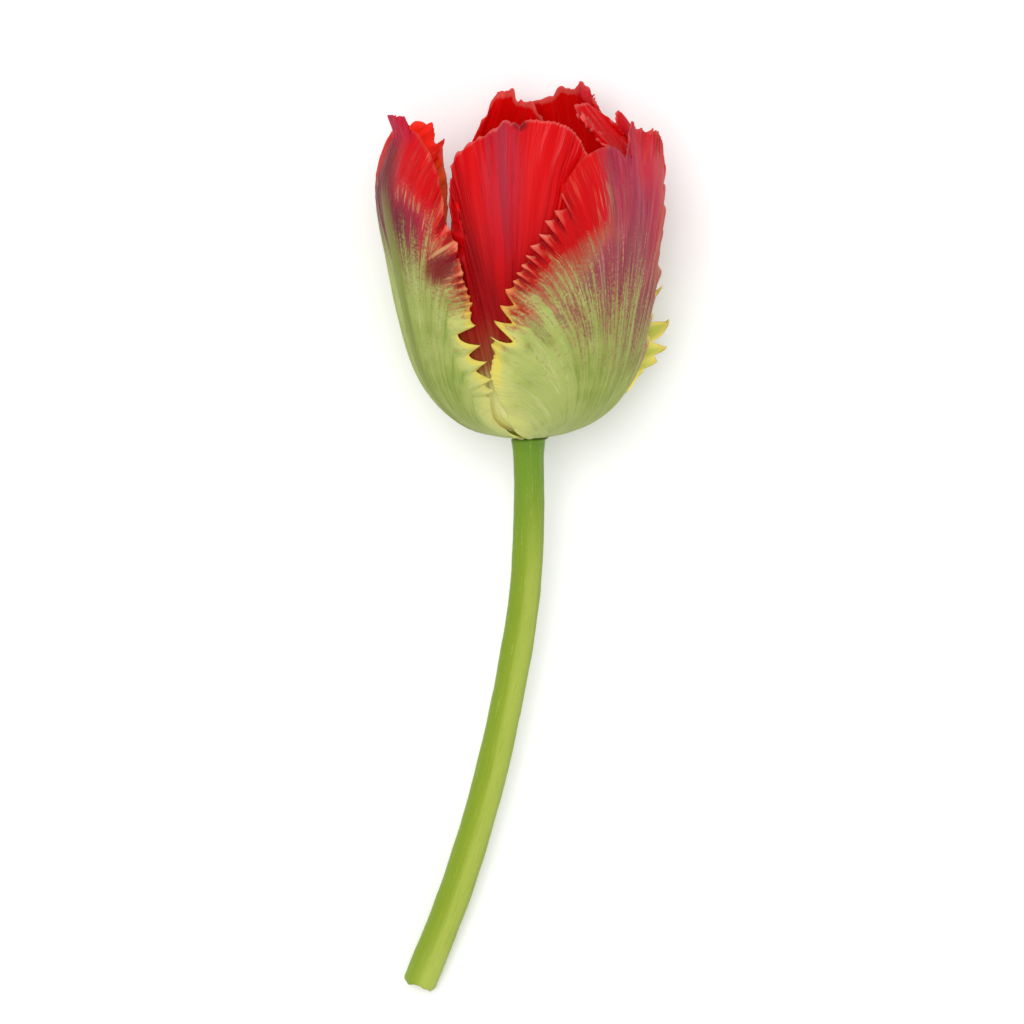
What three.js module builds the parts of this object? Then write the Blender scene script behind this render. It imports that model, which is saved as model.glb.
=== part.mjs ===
// Parrot tulip, one cut flower lying on a table. Millimetres, +Z up, the stem along -Y and the bloom at +Y.
//
// Everything is drawn in the flower's own upright frame and then laid down by one group:
//   z runs up the bloom's axis from the receptacle, x is to the right, and the side with -y ends up on top.
//   A compass angle counts from +x towards +y, so 270 degrees is the upper side and 90 the side lying down.
// Every tepal is a sheet of veins that fan out from its narrow foot to its cut margin.

import * as THREE from "three";

const DEGREE = Math.PI / 180;

// ---------------------------------------------------------------- driving dimensions

const RISE = 8.8; // degrees that the axis rises towards the bloom, which is thicker than the stem
const LEAN = 2.4; // degrees that the bloom leans to the left of the stem's top
const SEAT = 0.7; // that the bloom sits to the right of the stem's top

const STEM_LINE = [[0, 0], [0.1, -22], [-1.7, -46], [-8.4, -81], [-17.2, -112], [-27.4, -138.5]]; // x, z
const STEM_RADIUS = { neck: 3.85, cut: 4.25 };
const STEM_SIDES = 14;
const STEM_STEPS = 26;
const RECEPTACLE = {
  flareLength: 6, radius: 4.4, top: -0.1, waist: 2.8, discFoot: 3.9, discRadius: 5.8, discTop: 5,
};

const TEPAL_THICKNESS = 0.8;
const MM_PER_DEGREE = 0.6; // of arc, near the widest part of the bloom
const MARGIN_BAND = 7; // the strip along the margin that the teeth are cut in
const BAND_SHARE = 0.35; // the most of a vein that this strip takes
const NOTCH_LIMIT = 0.8; // the most of this strip that a notch takes
const TEPAL_ROWS = 7;
const ROW_CROWDING = 1.3; // the rows stand closer near the foot, where the bowl bends most
const FOLD_ANGLE = 40; // degrees from the midrib at which a fold's depth is given
const FOLD_SPREAD = 1.9; // how a fold grows away from the midrib
const FOLD_END = 56; // degrees from the midrib beyond which it grows no more
const FOLD_HEIGHT = 8; // how late it grows towards the tip
const FOOT_FLARE = 0.4; // the share of the foot's width that the outermost veins take
const FOOT_BEND = 13; // how few veins these are
const VEIN_BEND = 3; // how late a vein turns out towards the margin
const COMBED = { from: 0.28, all: 0.46, until: 0.8 }; // where on the margin teeth turn out from the veins
const TOOTH_LIFT = 0.25; // how far a tooth points upwards rather than straight out of the margin
const TOOTH_LEAN = 0.62; // where a tooth's tip stands between its two notches
const TOOTH_RANGE = [0.5, 1.5]; // the least and most of its run's depth that a tooth has
const TOOTH_DRIFT = 0.5; // how unevenly the teeth are spaced, as a share of their pitch
const TIP_FLICK = 0.22; // how far a tooth's tip leans outwards, as a share of its reach
const PLAIN_STEP = 0.075; // between the columns of a margin with no teeth, as a share of its length
const TIP_STEP = 0.03; // and near the tip
const TIP_SHARE = 0.16;
const NORMAL_STEP = { angle: 0.5, share: 0.004 }; // between the places that a normal is measured from

// Radius and height of each whorl's bowl, from the foot up to where the tepals go their own ways.
const OUTER_BOWL = [[3.4, 0.5], [9, 1.1], [16.5, 3.8], [23.1, 9.3], [28.5, 18.5], [32, 32], [34.7, 48]];
const INNER_BOWL = [[3.4, 1.9], [8.8, 2.5], [15.3, 5.3], [21.2, 10.9], [26.3, 19.8], [29.9, 32.6]];

// Each tepal: its compass angle, the crown of its profile (radius, height) and its two halves.
// A half's foot is in degrees from the midrib, and its margin runs from the tip to the foot in (degrees
// from the midrib, height). Its teeth are runs along the margin: from, to (shares of it), count and depth.
// Its fingers are the single tips and notches that follow them: place, reach past the margin.
// It folds in by some millimetres near its top. Its band is the width of the toothed strip and its flick
// how far the teeth lean out, where they differ from the usual.
// Swells push the sheet out: angle, height, the widths of both, amount.
const TEPALS = {
  outer_tepal_left: {
    compass: 204,
    crown: [[36.8, 61], [36.9, 69], [34.6, 76], [33, 80], [34.6, 85.4]],
    plus: {
      foot: 51.7,
      folds: 2,
      margin: [[3, 85], [8, 85.3], [11, 84.9], [12.2, 83.4], [12.4, 81.6], [14.4, 81.2], [18, 79.8],
        [24.5, 77.2], [28.5, 74.6], [31.5, 71.8], [33.5, 68], [34.6, 63.5], [36, 58.5], [38.4, 54],
        [40.5, 49], [41.4, 44], [41.4, 39], [41, 34], [41.2, 29], [42.6, 24], [44.4, 19.5],
        [45.3, 15.5], [43.6, 11.5], [42, 8], [43.5, 5.4], [49, 3.4]],
      teeth: [[0.176, 0.283, 3, 0.5], [0.291, 0.449, 3, 1.6], [0.482, 0.615, 6, 1.2]],
      fingers: [[0.633, 2], [0.646, -5], [0.689, 2.5], [0.7, -3], [0.736, 3.2], [0.745, -2.6],
        [0.782, 2.6], [0.791, -1.3], [0.808, 2], [0.826, -1.8]],
    },
    minus: {
      foot: 64,
      folds: 18,
      flick: 0,
      margin: [[3, 85], [-3, 84.8], [-4.6, 82.4], [-6.4, 80.2], [-12, 79.2], [-22, 79], [-26.5, 79.4],
        [-31.5, 80.2], [-37.5, 79.8], [-43.5, 78], [-50, 75.6], [-54, 73.8], [-58, 74], [-65, 72.6],
        [-72, 69.6], [-77.5, 65.4], [-80.5, 59], [-80.5, 46], [-79, 34], [-76, 24], [-70, 15]],
      teeth: [[0.2, 0.37, 4, 0.5], [0.37, 0.5, 3, 0.7], [0.5, 0.9, 8, 0.8]],
    },
    swells: [[42, 48, 7, 5, 1.6], [38, 40, 7, 5, -0.9]],
  },
  outer_tepal_right: {
    compass: 318,
    crown: [[36.1, 61], [36, 72], [35.4, 82.5]],
    plus: {
      foot: 52,
      folds: 0.4,
      margin: [[-1, 73.2], [1, 75.5], [4, 80.4], [6.8, 82], [9, 80.4], [12, 79.3], [18.5, 78.6],
        [27.3, 77.4], [38, 75.2], [44, 69], [46.5, 55], [47.5, 38], [48, 24], [48, 12]],
      teeth: [[0.14, 0.3, 4, 0.8], [0.4, 0.62, 4, 0.7], [0.62, 0.9, 5, 2.4]],
    },
    minus: {
      foot: 56.8,
      folds: 0.4,
      margin: [[-1, 73.2], [-2.3, 75.4], [-5, 76.6], [-9.6, 77], [-15.6, 76.4], [-21.5, 74.8],
        [-25.6, 72], [-28.3, 69], [-31, 65.5], [-33.5, 62.3], [-38, 58], [-42, 54.3], [-45, 51.7],
        [-47.5, 49.3], [-50, 46.6], [-52.5, 43.7], [-54.5, 40.5], [-56, 37], [-57.5, 33.5], [-59, 30.3],
        [-61.5, 27.5], [-64, 24.5], [-65.3, 21], [-65, 17.5], [-64.6, 14.8], [-63, 9.5], [-60, 5],
        [-57.6, 3.2]],
      fingers: [[0.241, -0.1], [0.251, 0.9], [0.266, -2.4], [0.296, 0.9], [0.304, -1], [0.331, 1.6],
        [0.339, -2.6], [0.366, 0.9], [0.374, -1], [0.403, 1.1], [0.411, -2], [0.428, 0.7],
        [0.437, -0.7], [0.452, 0.6], [0.461, -0.6], [0.477, 0.7], [0.486, -0.6], [0.502, 0.5],
        [0.512, -0.5], [0.53, 1.5], [0.56, -1.7], [0.572, 1.7], [0.606, -2.3], [0.617, 2.5],
        [0.648, -3.4], [0.665, 2.5], [0.674, 1.2], [0.684, 1.6], [0.71, 0.1]],
    },
    swells: [[-57, 26, 12, 12, 1.5], [3, 66, 4, 14, 0.8], [14, 72, 6, 12, -1]],
  },
  outer_tepal_back: {
    compass: 68,
    crown: [[35.6, 59], [33.6, 68], [30, 77], [27, 82.6], [24, 86.4]],
    plus: {
      foot: 60,
      folds: 0.4,
      margin: [[-20, 86.6], [-13, 84.4], [-6, 84.6], [-2, 84.4], [1, 83.2], [4, 81.6], [10, 81], [16, 81],
        [23, 79], [30, 74], [38, 64], [44, 50], [46, 36], [48, 22], [53, 12]],
      teeth: [[0.08, 0.4, 4, 0.5], [0.4, 0.9, 8, 1.6]],
    },
    minus: {
      foot: 49,
      folds: 0.4,
      margin: [[-20, 86.6], [-23.4, 86.6], [-24.6, 85], [-23.8, 82.6], [-23.4, 80], [-23.8, 76.5], [-26.6, 70],
        [-33, 60], [-38, 49], [-42, 40], [-46, 33], [-50, 28], [-53, 23], [-54, 17], [-53, 13], [-51, 9]],
      teeth: [[0.15, 0.5, 6, 1.2]],
      fingers: [[0.66, 2], [0.675, -0.4], [0.7, 5.2], [0.74, -4.5], [0.79, 3.6], [0.828, -2.2],
        [0.853, 2], [0.875, -0.8], [0.892, 0.8], [0.92, -0.1]],
    },
    swells: [[-55, 21, 8, 12, 5.5], [-19, 82.5, 4, 4, -1.6]],
  },
  inner_tepal_front: {
    compass: 264,
    crown: [[32.7, 48], [32.9, 60], [31.8, 70], [30.6, 78], [30, 85]],
    plus: {
      foot: 48,
      band: 4,
      margin: [[3, 83.8], [5, 84.4], [7.7, 83.4], [10, 84.6], [14.5, 84.7], [19, 84.3], [24, 83.8],
        [29.6, 82.6], [34, 80.8], [37, 78.8], [38.8, 76], [37.6, 73], [33.6, 70.5], [30.5, 66],
        [30, 58], [32, 46], [35, 32], [37, 18]],
      teeth: [[0.3, 0.44, 4, 0.8], [0.5, 0.85, 4, 1.6]],
    },
    minus: {
      foot: 50,
      band: 4,
      flick: 0,
      margin: [[3, 83.8], [1.5, 84.9], [-1, 84.6], [-3.6, 83], [-8.7, 81.8], [-14.3, 80.2], [-21, 77.8],
        [-26, 75], [-26.6, 70], [-26.4, 60], [-27, 50], [-33, 38], [-41, 25], [-45, 14]],
      teeth: [[0.05, 0.3, 5, 0.6], [0.34, 0.85, 6, 1.6]],
    },
    swells: [[3, 80, 4, 7, -0.8]],
  },
  inner_tepal_right: {
    compass: 2,
    crown: [[32.6, 46], [31.8, 57], [29, 67], [24.4, 76], [18.6, 85]],
    plus: {
      foot: 42,
      band: 4,
      margin: [[-33, 85.2], [-26, 85], [-20, 84.2], [-16.6, 83], [-14.4, 81.4], [-13, 79],
        [-11.6, 79.2], [-9.4, 81.2], [-6.5, 81.8], [-3, 80.6], [0, 79], [3, 76.4], [5, 74.5], [10, 72],
        [18, 69], [26, 64], [33, 56], [40, 44], [44, 30], [44, 15]],
      teeth: [[0.5, 0.85, 6, 2]],
    },
    minus: {
      foot: 44,
      band: 5,
      flick: 0.1,
      margin: [[-33, 85.2], [-38, 85], [-42, 83.2], [-39, 81.4], [-35, 79.6], [-34, 76.6], [-34, 72.5],
        [-36, 66], [-42, 56], [-45, 46], [-46, 34], [-46, 24], [-45, 15]],
      fingers: [[0.05, 0.8], [0.064, -1.6], [0.082, 1.8], [0.098, -2.6], [0.116, 2.6], [0.136, -3.2],
        [0.156, 3], [0.177, -3.2], [0.2, 3], [0.224, -2.8], [0.252, 2.4], [0.28, -2], [0.32, 1],
        [0.36, -0.8], [0.48, 1.2], [0.52, -0.8], [0.6, 1.2], [0.64, -0.8], [0.74, 1.2], [0.78, -0.8]],
    },
    swells: [[-3, 80, 10, 13, 5.2]],
  },
  inner_tepal_left: {
    compass: 120,
    crown: [[32.6, 46], [31, 58], [27.4, 68], [22.6, 77.5], [19.4, 85]],
    plus: {
      foot: 52,
      band: 2.2,
      margin: [[-19, 85.6], [-16, 84.2], [-12.5, 82], [-8.5, 79], [-5.4, 75], [-4, 69], [-4.5, 58], [-1, 47],
        [13, 35], [32, 24], [42, 15]],
      teeth: [[0.03, 0.3, 4, 0.5], [0.3, 0.85, 6, 1.6]],
    },
    minus: {
      foot: 42,
      band: 4,
      margin: [[-19, 85.6], [-24, 85.8], [-27.5, 84.8], [-29.5, 82.6], [-33, 81.8], [-39, 81.4], [-43, 80],
        [-45, 76], [-46, 68], [-47, 56], [-47, 30], [-46, 15]],
      teeth: [[0.03, 0.4, 6, 0.8], [0.4, 0.85, 6, 1.8]],
    },
    swells: [],
  },
};
// The table presses the inner whorl flat a little above itself, so that the outer one lies between.
const WHORLS = { outer: { bowl: OUTER_BOWL, pressedBy: 0 }, inner: { bowl: INNER_BOWL, pressedBy: 1.5 } };

const DISC_GAP = 0.3; // between the receptacle's disc and what stands on it
const OVARY = { length: 17, radius: 3.3, sides: 14, steps: 8, ends: 0.84, belly: 0.2, corners: 0.09 };
const STIGMA = { height: 3.6, radius: 4.6, gap: 0.3, sides: 24, steps: 6, core: 0.48, lip: 0.5 };
const STIGMA_ROUNDING = 0.8; // how far round its lobes' section curves in again at the top
const FILAMENT = { length: 9.5, radius: 0.75, sides: 6, steps: 3, taper: 0.55 };
const ANTHER = { length: 11.5, radius: 1.6, gap: 0.3, sides: 8, steps: 6, ends: 0.4, groove: 0.22 };
const STAMENS = { count: 6, ringRadius: 4.7, first: 30, lean: 9 }; // angles in degrees, leaning outwards

const COLOURS = {
  stem: 0x8ba53a, outer: 0xa8463a, inner: 0xc8141a, ovary: 0xa9b85c, stigma: 0xe3d68a, filament: 0xd8cf9a,
  anther: 0x3a2430,
};

// ---------------------------------------------------------------- small helpers

const SAME_PLACE = 1e-6;
const { clamp, lerp, smoothstep } = THREE.MathUtils;
const plane2 = (pairs) => pairs.map(([a, b]) => new THREE.Vector2(a, b));

/** A repeatable number from 0 to 1 for each whole number and seed. */
function chance(i, seed) {
  const wave = Math.sin(i * 12.9898 + seed * 78.233) * 43758.5453;
  return wave - Math.floor(wave);
}

/** A closed body from rings of equally many points, with its two ends capped. */
function bodyFromRings(rings) {
  const sides = rings[0].length;
  const points = [];
  const faces = [];
  rings.forEach((ring) => ring.forEach((p) => points.push(p.x, p.y, p.z)));
  for (let j = 0; j + 1 < rings.length; j++)
    for (let i = 0; i < sides; i++) {
      const [a, b] = [j * sides + i, j * sides + ((i + 1) % sides)];
      faces.push(a, b, b + sides, a, b + sides, a + sides);
    }
  const cap = (ring, start, order) => {
    const middle = ring.reduce((sum, p) => sum.add(p), new THREE.Vector3()).divideScalar(sides);
    const centre = points.length / 3;
    points.push(middle.x, middle.y, middle.z);
    for (let i = 0; i < sides; i++) {
      const [a, b] = [start + i, start + ((i + 1) % sides)];
      faces.push(...(order ? [centre, a, b] : [centre, b, a]));
    }
  };
  cap(rings[0], 0, false);
  cap(rings[rings.length - 1], (rings.length - 1) * sides, true);
  const geometry = new THREE.BufferGeometry();
  geometry.setAttribute("position", new THREE.Float32BufferAttribute(points, 3));
  geometry.setIndex(faces);
  return geometry;
}

/** A ring of points round a centre, in the plane of two unit vectors, with a radius for each angle. */
function ringAt(centre, across, along, sides, radiusAt) {
  return Array.from({ length: sides }, (_, i) => {
    const angle = (2 * Math.PI * i) / sides;
    const radius = radiusAt(angle);
    return centre.clone()
      .addScaledVector(across, radius * Math.cos(angle))
      .addScaledVector(along, radius * Math.sin(angle));
  });
}

function namedMesh(name, geometry, colour, roughness = 0.55) {
  const material = new THREE.MeshStandardMaterial({ color: colour, roughness, metalness: 0 });
  const mesh = new THREE.Mesh(geometry, material);
  mesh.name = name;
  return mesh;
}

// ---------------------------------------------------------------- stem

/** The stem from its cut up to the receptacle, whose disc carries pistil and stamens. */
function stemGeometry() {
  const line = new THREE.SplineCurve(plane2(STEM_LINE));
  const back = new THREE.Vector3(0, 1, 0);
  const rings = [];
  for (let j = STEM_STEPS; j >= 1; j--) {
    const share = j / STEM_STEPS;
    const at = line.getPointAt(share);
    const heading = line.getTangentAt(share);
    const across = new THREE.Vector3(-heading.y, 0, heading.x);
    const flare = clamp(1 + at.y / RECEPTACLE.flareLength, 0, 1) ** 2;
    const plain = lerp(STEM_RADIUS.neck, STEM_RADIUS.cut, share);
    const radius = lerp(plain, RECEPTACLE.radius, flare);
    rings.push(ringAt(new THREE.Vector3(at.x, 0, at.y), across, back, STEM_SIDES, () => radius));
  }
  const right = new THREE.Vector3(1, 0, 0);
  const collar = [
    [RECEPTACLE.radius, RECEPTACLE.top],
    [RECEPTACLE.waist, RECEPTACLE.top],
    [RECEPTACLE.waist, RECEPTACLE.discFoot],
    [RECEPTACLE.discRadius, (RECEPTACLE.discFoot + RECEPTACLE.discTop) / 2],
    [RECEPTACLE.discRadius, RECEPTACLE.discTop],
  ];
  collar.forEach(([radius, z]) =>
    rings.push(ringAt(new THREE.Vector3(SEAT, 0, z), right, back, STEM_SIDES, () => radius)));
  return bodyFromRings(rings);
}

// ---------------------------------------------------------------- tepals

/** One tepal as a sheet: a vein fans out from the foot to each point of the margin. */
class Tepal {
  constructor(spec, bowl, table, seed) {
    Object.assign(this, spec);
    this.table = table;
    this.seed = seed;
    this.profile = new THREE.SplineCurve(plane2([...bowl, ...spec.crown]));
    this.length = this.profile.getLength();
    this.margins = { plus: this.marginCurve(spec.plus.margin), minus: this.marginCurve(spec.minus.margin) };
  }

  /** The share of the midrib's length at which the profile reaches a height. */
  shareAtHeight(height) {
    let [low, high] = [0, 1];
    for (let step = 0; step < 30; step++) {
      const middle = (low + high) / 2;
      if (this.profile.getPointAt(middle).y < height) low = middle;
      else high = middle;
    }
    return low;
  }

  /** The margin as a curve in millimetres on the unrolled sheet. */
  marginCurve(points) {
    return new THREE.SplineCurve(points.map(([angle, height]) =>
      new THREE.Vector2(angle * MM_PER_DEGREE, this.shareAtHeight(height) * this.length)));
  }

  /** The outer face at an angle from the midrib and a share of its length, pressed flat by the table. */
  sheet(angle, share) {
    const inside = clamp(share, 0, 1);
    const at = this.profile.getPointAt(inside);
    if (share > 1) at.addScaledVector(this.profile.getTangentAt(1), (share - 1) * this.length);
    let radius = at.x;
    this.swells.forEach(([angle0, height0, angleWidth, heightWidth, amount]) => {
      const across = (angle - angle0) / angleWidth;
      const up = (at.y - height0) / heightWidth;
      radius += amount * Math.exp(-(across ** 2) - up ** 2);
    });
    const { folds = 0 } = this[angle < 0 ? "minus" : "plus"];
    const turned = Math.min(Math.abs(angle), FOLD_END) / FOLD_ANGLE;
    radius -= folds * turned ** FOLD_SPREAD * inside ** FOLD_HEIGHT;
    const compass = (this.compass + angle) * DEGREE;
    const point = new THREE.Vector3(radius * Math.cos(compass), radius * Math.sin(compass), at.y);
    const below = this.table.distanceToPoint(point);
    return below < 0 ? point.addScaledVector(this.table.normal, -below) : point;
  }

  /** The outward normal of the sheet. */
  normal(angle, share) {
    const { angle: turn, share: rise } = NORMAL_STEP;
    const round = this.sheet(angle + turn, share).sub(this.sheet(angle - turn, share));
    const up = this.sheet(angle, share + rise).sub(this.sheet(angle, Math.max(0, share - rise)));
    return round.cross(up).normalize();
  }

  /** How far each column of a side reaches past the margin's line: tips out, notches in. */
  columns(side) {
    const { teeth = [], fingers = [] } = this[side];
    const made = [{ at: 0, reach: 0 }];
    const last = () => made[made.length - 1].at;
    const plainTo = (end) => {
      while (last() < end - SAME_PLACE) {
        const step = last() < TIP_SHARE ? TIP_STEP : PLAIN_STEP;
        made.push({ at: Math.min(end, last() + step), reach: 0 });
      }
    };
    teeth.forEach(([from, to, count, depth], run) => {
      plainTo(from);
      const seed = this.seed + side.length;
      const pitch = (to - from) / count;
      for (let i = 0; i < count; i++) {
        const size = depth * lerp(...TOOTH_RANGE, chance(i + 17 * run, seed));
        const drift = i + 1 < count ? TOOTH_DRIFT * (chance(i + 29 * run, seed) - 0.5) : 0;
        const notch = from + pitch * (i + 1 + drift);
        made.push({ at: lerp(last(), notch, 1 - TOOTH_LEAN), reach: 0.5 * size });
        made.push({ at: notch, reach: -0.5 * size });
      }
    });
    fingers.forEach(([at, reach]) => made.push({ at, reach }));
    plainTo(1);
    return made;
  }

  /** The points of one vein on both faces: along the sheet, then straight out through the toothed band. */
  vein(side, { at, reach }) {
    const sign = side === "plus" ? 1 : -1;
    const { foot: footAngle, band: widest = MARGIN_BAND, flick = TIP_FLICK } = this[side];
    const margin = this.margins[side];
    const end = margin.getPointAt(clamp(at, 0, 1));
    const heading = margin.getTangentAt(clamp(at, 0, 1));
    const out = new THREE.Vector2(-sign * heading.y, sign * heading.x + TOOTH_LIFT).normalize();
    const foot = sign * lerp(at, at ** FOOT_BEND, FOOT_FLARE) * footAngle * MM_PER_DEGREE;
    const band = Math.min(widest, BAND_SHARE * end.y);
    const before = 1 - band / end.y;
    const onVein = new THREE.Vector2(lerp(foot, end.x, before ** VEIN_BEND), end.y * before);
    const straightIn = end.clone().addScaledVector(out, -band);
    const combed = smoothstep(at, COMBED.from, COMBED.all) * (1 - smoothstep(at, COMBED.until, 1));
    const turn = onVein.lerp(straightIn, combed);
    const tip = end.clone().addScaledVector(out, clamp(reach, -NOTCH_LIMIT * band, band));
    const rows = [];
    for (let j = 0; j < TEPAL_ROWS; j++) {
      const along = (j / (TEPAL_ROWS - 1)) ** ROW_CROWDING;
      rows.push(this.bothFaces(lerp(foot, turn.x, along ** VEIN_BEND), turn.y * along, 0));
    }
    rows.push(this.bothFaces(tip.x, tip.y, flick * Math.max(0, reach)));
    return rows;
  }

  /** The points of both faces at a place on the unrolled sheet, pushed out by some millimetres. */
  bothFaces(x, y, standOut) {
    const [angle, share] = [x / MM_PER_DEGREE, y / this.length];
    const normal = this.normal(angle, share);
    const outer = this.sheet(angle, share).addScaledVector(normal, standOut);
    const inner = outer.clone().addScaledVector(normal, -TEPAL_THICKNESS);
    return { outer, inner };
  }

  /** The closed solid: the veins side by side, both faces split alike, and a rim all round. */
  geometry() {
    const left = this.columns("minus").slice(1).reverse().map((column) => this.vein("minus", column));
    const right = this.columns("plus").map((column) => this.vein("plus", column));
    const veins = [...left, ...right];
    const high = TEPAL_ROWS + 1;
    const half = veins.length * high;
    const points = [];
    for (const face of ["outer", "inner"])
      veins.forEach((vein) => vein.forEach((row) => points.push(row[face].x, row[face].y, row[face].z)));
    const faces = [];
    for (let i = 0; i + 1 < veins.length; i++)
      for (let j = 0; j + 1 < high; j++) {
        const [a, b] = [i * high + j, (i + 1) * high + j];
        faces.push(a, b, b + 1, a, b + 1, a + 1);
        faces.push(a + half, b + 1 + half, b + half, a + half, a + 1 + half, b + 1 + half);
      }
    const rim = [];
    for (let i = 0; i + 1 < veins.length; i++) rim.push(i * high);
    for (let j = 0; j + 1 < high; j++) rim.push((veins.length - 1) * high + j);
    for (let i = veins.length - 1; i > 0; i--) rim.push(i * high + high - 1);
    for (let j = high - 1; j > 0; j--) rim.push(j);
    rim.forEach((a, i) => {
      const b = rim[(i + 1) % rim.length];
      faces.push(b, a, a + half, b, a + half, b + half);
    });
    const geometry = new THREE.BufferGeometry();
    geometry.setAttribute("position", new THREE.Float32BufferAttribute(points, 3));
    geometry.setIndex(faces);
    return geometry;
  }
}

// ---------------------------------------------------------------- pistil and stamens

/** Rings stacked up the z axis, from a list of heights and a radius for each height share and angle. */
function stackedBody(base, height, steps, sides, radiusAt) {
  const [right, back] = [new THREE.Vector3(1, 0, 0), new THREE.Vector3(0, 1, 0)];
  const rings = Array.from({ length: steps + 1 }, (_, j) =>
    ringAt(new THREE.Vector3(0, 0, base + (height * j) / steps), right, back, sides,
      (angle) => radiusAt(j / steps, angle)));
  return bodyFromRings(rings);
}

/** The ovary: a column with three blunt corners, a little wider in the middle. */
function ovaryGeometry() {
  const { length, radius, sides, steps, ends, belly, corners } = OVARY;
  return stackedBody(RECEPTACLE.discTop + DISC_GAP, length, steps, sides, (share, angle) =>
    radius * (ends + belly * Math.sin(Math.PI * share)) * (1 + corners * Math.cos(3 * angle)));
}

/** The stigma: three lobes that spread over the ovary's top. */
function stigmaGeometry() {
  const { height, radius, gap, sides, steps, core, lip } = STIGMA;
  const foot = RECEPTACLE.discTop + DISC_GAP + OVARY.length + gap;
  return stackedBody(foot, height, steps, sides, (share, angle) => {
    const lobe = core + (1 - core) * Math.sqrt(Math.abs(Math.cos(1.5 * angle)));
    return radius * lobe * (lip + (1 - lip) * Math.sin(Math.PI * share * STIGMA_ROUNDING));
  });
}

function filamentGeometry() {
  const { length, radius, sides, steps, taper } = FILAMENT;
  return stackedBody(0, length, steps, sides, (share) => radius * (1 - taper * share));
}

/** An anther: a spindle with a groove down each side. */
function antherGeometry() {
  const { length, radius, gap, sides, steps, ends, groove } = ANTHER;
  return stackedBody(FILAMENT.length + gap, length, steps, sides, (share, angle) =>
    radius * (ends + (1 - ends) * Math.sin(Math.PI * share)) * (1 - groove * Math.cos(angle) ** 4));
}

/** A stamen in its place round the pistil: a group with the filament and the anther. */
function stamen(number) {
  const group = new THREE.Group();
  const compass = (STAMENS.first + (360 / STAMENS.count) * number) * DEGREE;
  const foot = RECEPTACLE.discTop + DISC_GAP + FILAMENT.radius * Math.sin(STAMENS.lean * DEGREE);
  group.position.set(STAMENS.ringRadius * Math.cos(compass), STAMENS.ringRadius * Math.sin(compass), foot);
  group.rotation.set(0, STAMENS.lean * DEGREE, compass, "ZYX");
  group.add(namedMesh(`filament_${number + 1}`, filamentGeometry(), COLOURS.filament));
  group.add(namedMesh(`anther_${number + 1}`, antherGeometry(), COLOURS.anther, 0.85));
  return group;
}

// ---------------------------------------------------------------- the flower, laid down

const flower = new THREE.Group(); // laid down: its z axis points along +Y and a little up
flower.rotation.x = (RISE - 90) * DEGREE;
const bloom = new THREE.Group(); // leans a little on the stem
bloom.rotation.y = -LEAN * DEGREE;
bloom.position.x = SEAT;
flower.add(bloom);

const stem = namedMesh("stem", stemGeometry(), COLOURS.stem, 0.5);
flower.add(stem);
flower.position.z = -new THREE.Box3().setFromObject(flower, true).min.z; // the cut end touches the table
flower.updateMatrixWorld(true);

Object.entries(TEPALS).forEach(([name, spec], number) => {
  const whorl = name.startsWith("outer") ? "outer" : "inner";
  const { bowl, pressedBy } = WHORLS[whorl];
  const table = new THREE.Plane(new THREE.Vector3(0, 0, 1), -pressedBy)
    .applyMatrix4(bloom.matrixWorld.clone().invert());
  const tepal = new Tepal(spec, bowl, table, number + 1);
  bloom.add(namedMesh(name, tepal.geometry(), COLOURS[whorl]));
});

bloom.add(namedMesh("ovary", ovaryGeometry(), COLOURS.ovary));
bloom.add(namedMesh("stigma", stigmaGeometry(), COLOURS.stigma, 0.7));
for (let number = 0; number < STAMENS.count; number++) bloom.add(stamen(number));

// The origin is under the middle of the flower, on the table.
const size = new THREE.Box3().setFromObject(flower, true);
flower.position.x -= (size.min.x + size.max.x) / 2;
flower.position.y -= (size.min.y + size.max.y) / 2;

export default flower;
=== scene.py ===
"""Parrot tulip, one cut flower lying on a table.

Metres, +Z up, the stem along -Y and the bloom at +Y. The petals, called tepals on a tulip, are drawn in the
flower's own upright frame in millimetres and then laid down: z runs up the bloom, x to the right, and -y
becomes the upper side. A compass angle counts from +x towards +y, so 270 degrees is the upper side.
"""

from __future__ import annotations

import logging
import math
from dataclasses import dataclass, field
from enum import Enum

import bpy
import numpy as np
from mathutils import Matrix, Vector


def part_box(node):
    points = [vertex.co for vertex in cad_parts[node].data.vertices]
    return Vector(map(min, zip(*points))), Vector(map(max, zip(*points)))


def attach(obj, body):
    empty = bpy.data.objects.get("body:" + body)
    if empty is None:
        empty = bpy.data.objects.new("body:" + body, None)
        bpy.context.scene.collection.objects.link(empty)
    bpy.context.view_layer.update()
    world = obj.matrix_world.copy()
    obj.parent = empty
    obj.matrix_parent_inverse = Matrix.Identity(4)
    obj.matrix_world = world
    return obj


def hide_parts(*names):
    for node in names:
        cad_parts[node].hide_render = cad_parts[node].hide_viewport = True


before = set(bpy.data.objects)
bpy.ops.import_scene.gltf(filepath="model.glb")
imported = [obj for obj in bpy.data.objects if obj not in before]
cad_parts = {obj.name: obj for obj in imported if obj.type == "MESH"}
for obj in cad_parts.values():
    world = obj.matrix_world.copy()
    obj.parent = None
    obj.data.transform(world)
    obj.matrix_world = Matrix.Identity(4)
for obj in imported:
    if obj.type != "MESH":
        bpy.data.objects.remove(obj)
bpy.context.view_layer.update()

log = logging.getLogger("tulip")
MM = 0.001
TABLE_GAP = 0.02  # millimetres that everything keeps off the table
Pair = tuple[float, float]
Triple = tuple[float, float, float]
Colour = tuple[float, float, float, float]


# ---------------------------------------------------------------- numbers and curves


WAVE_PARTS = ((1.0, 0.55), (1.73, 0.3), (2.91, 0.15))  # pace and share of the waves in a wandering line
WAVE_SHIFT = 6.3  # the most that they are out of step, in radians


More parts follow.
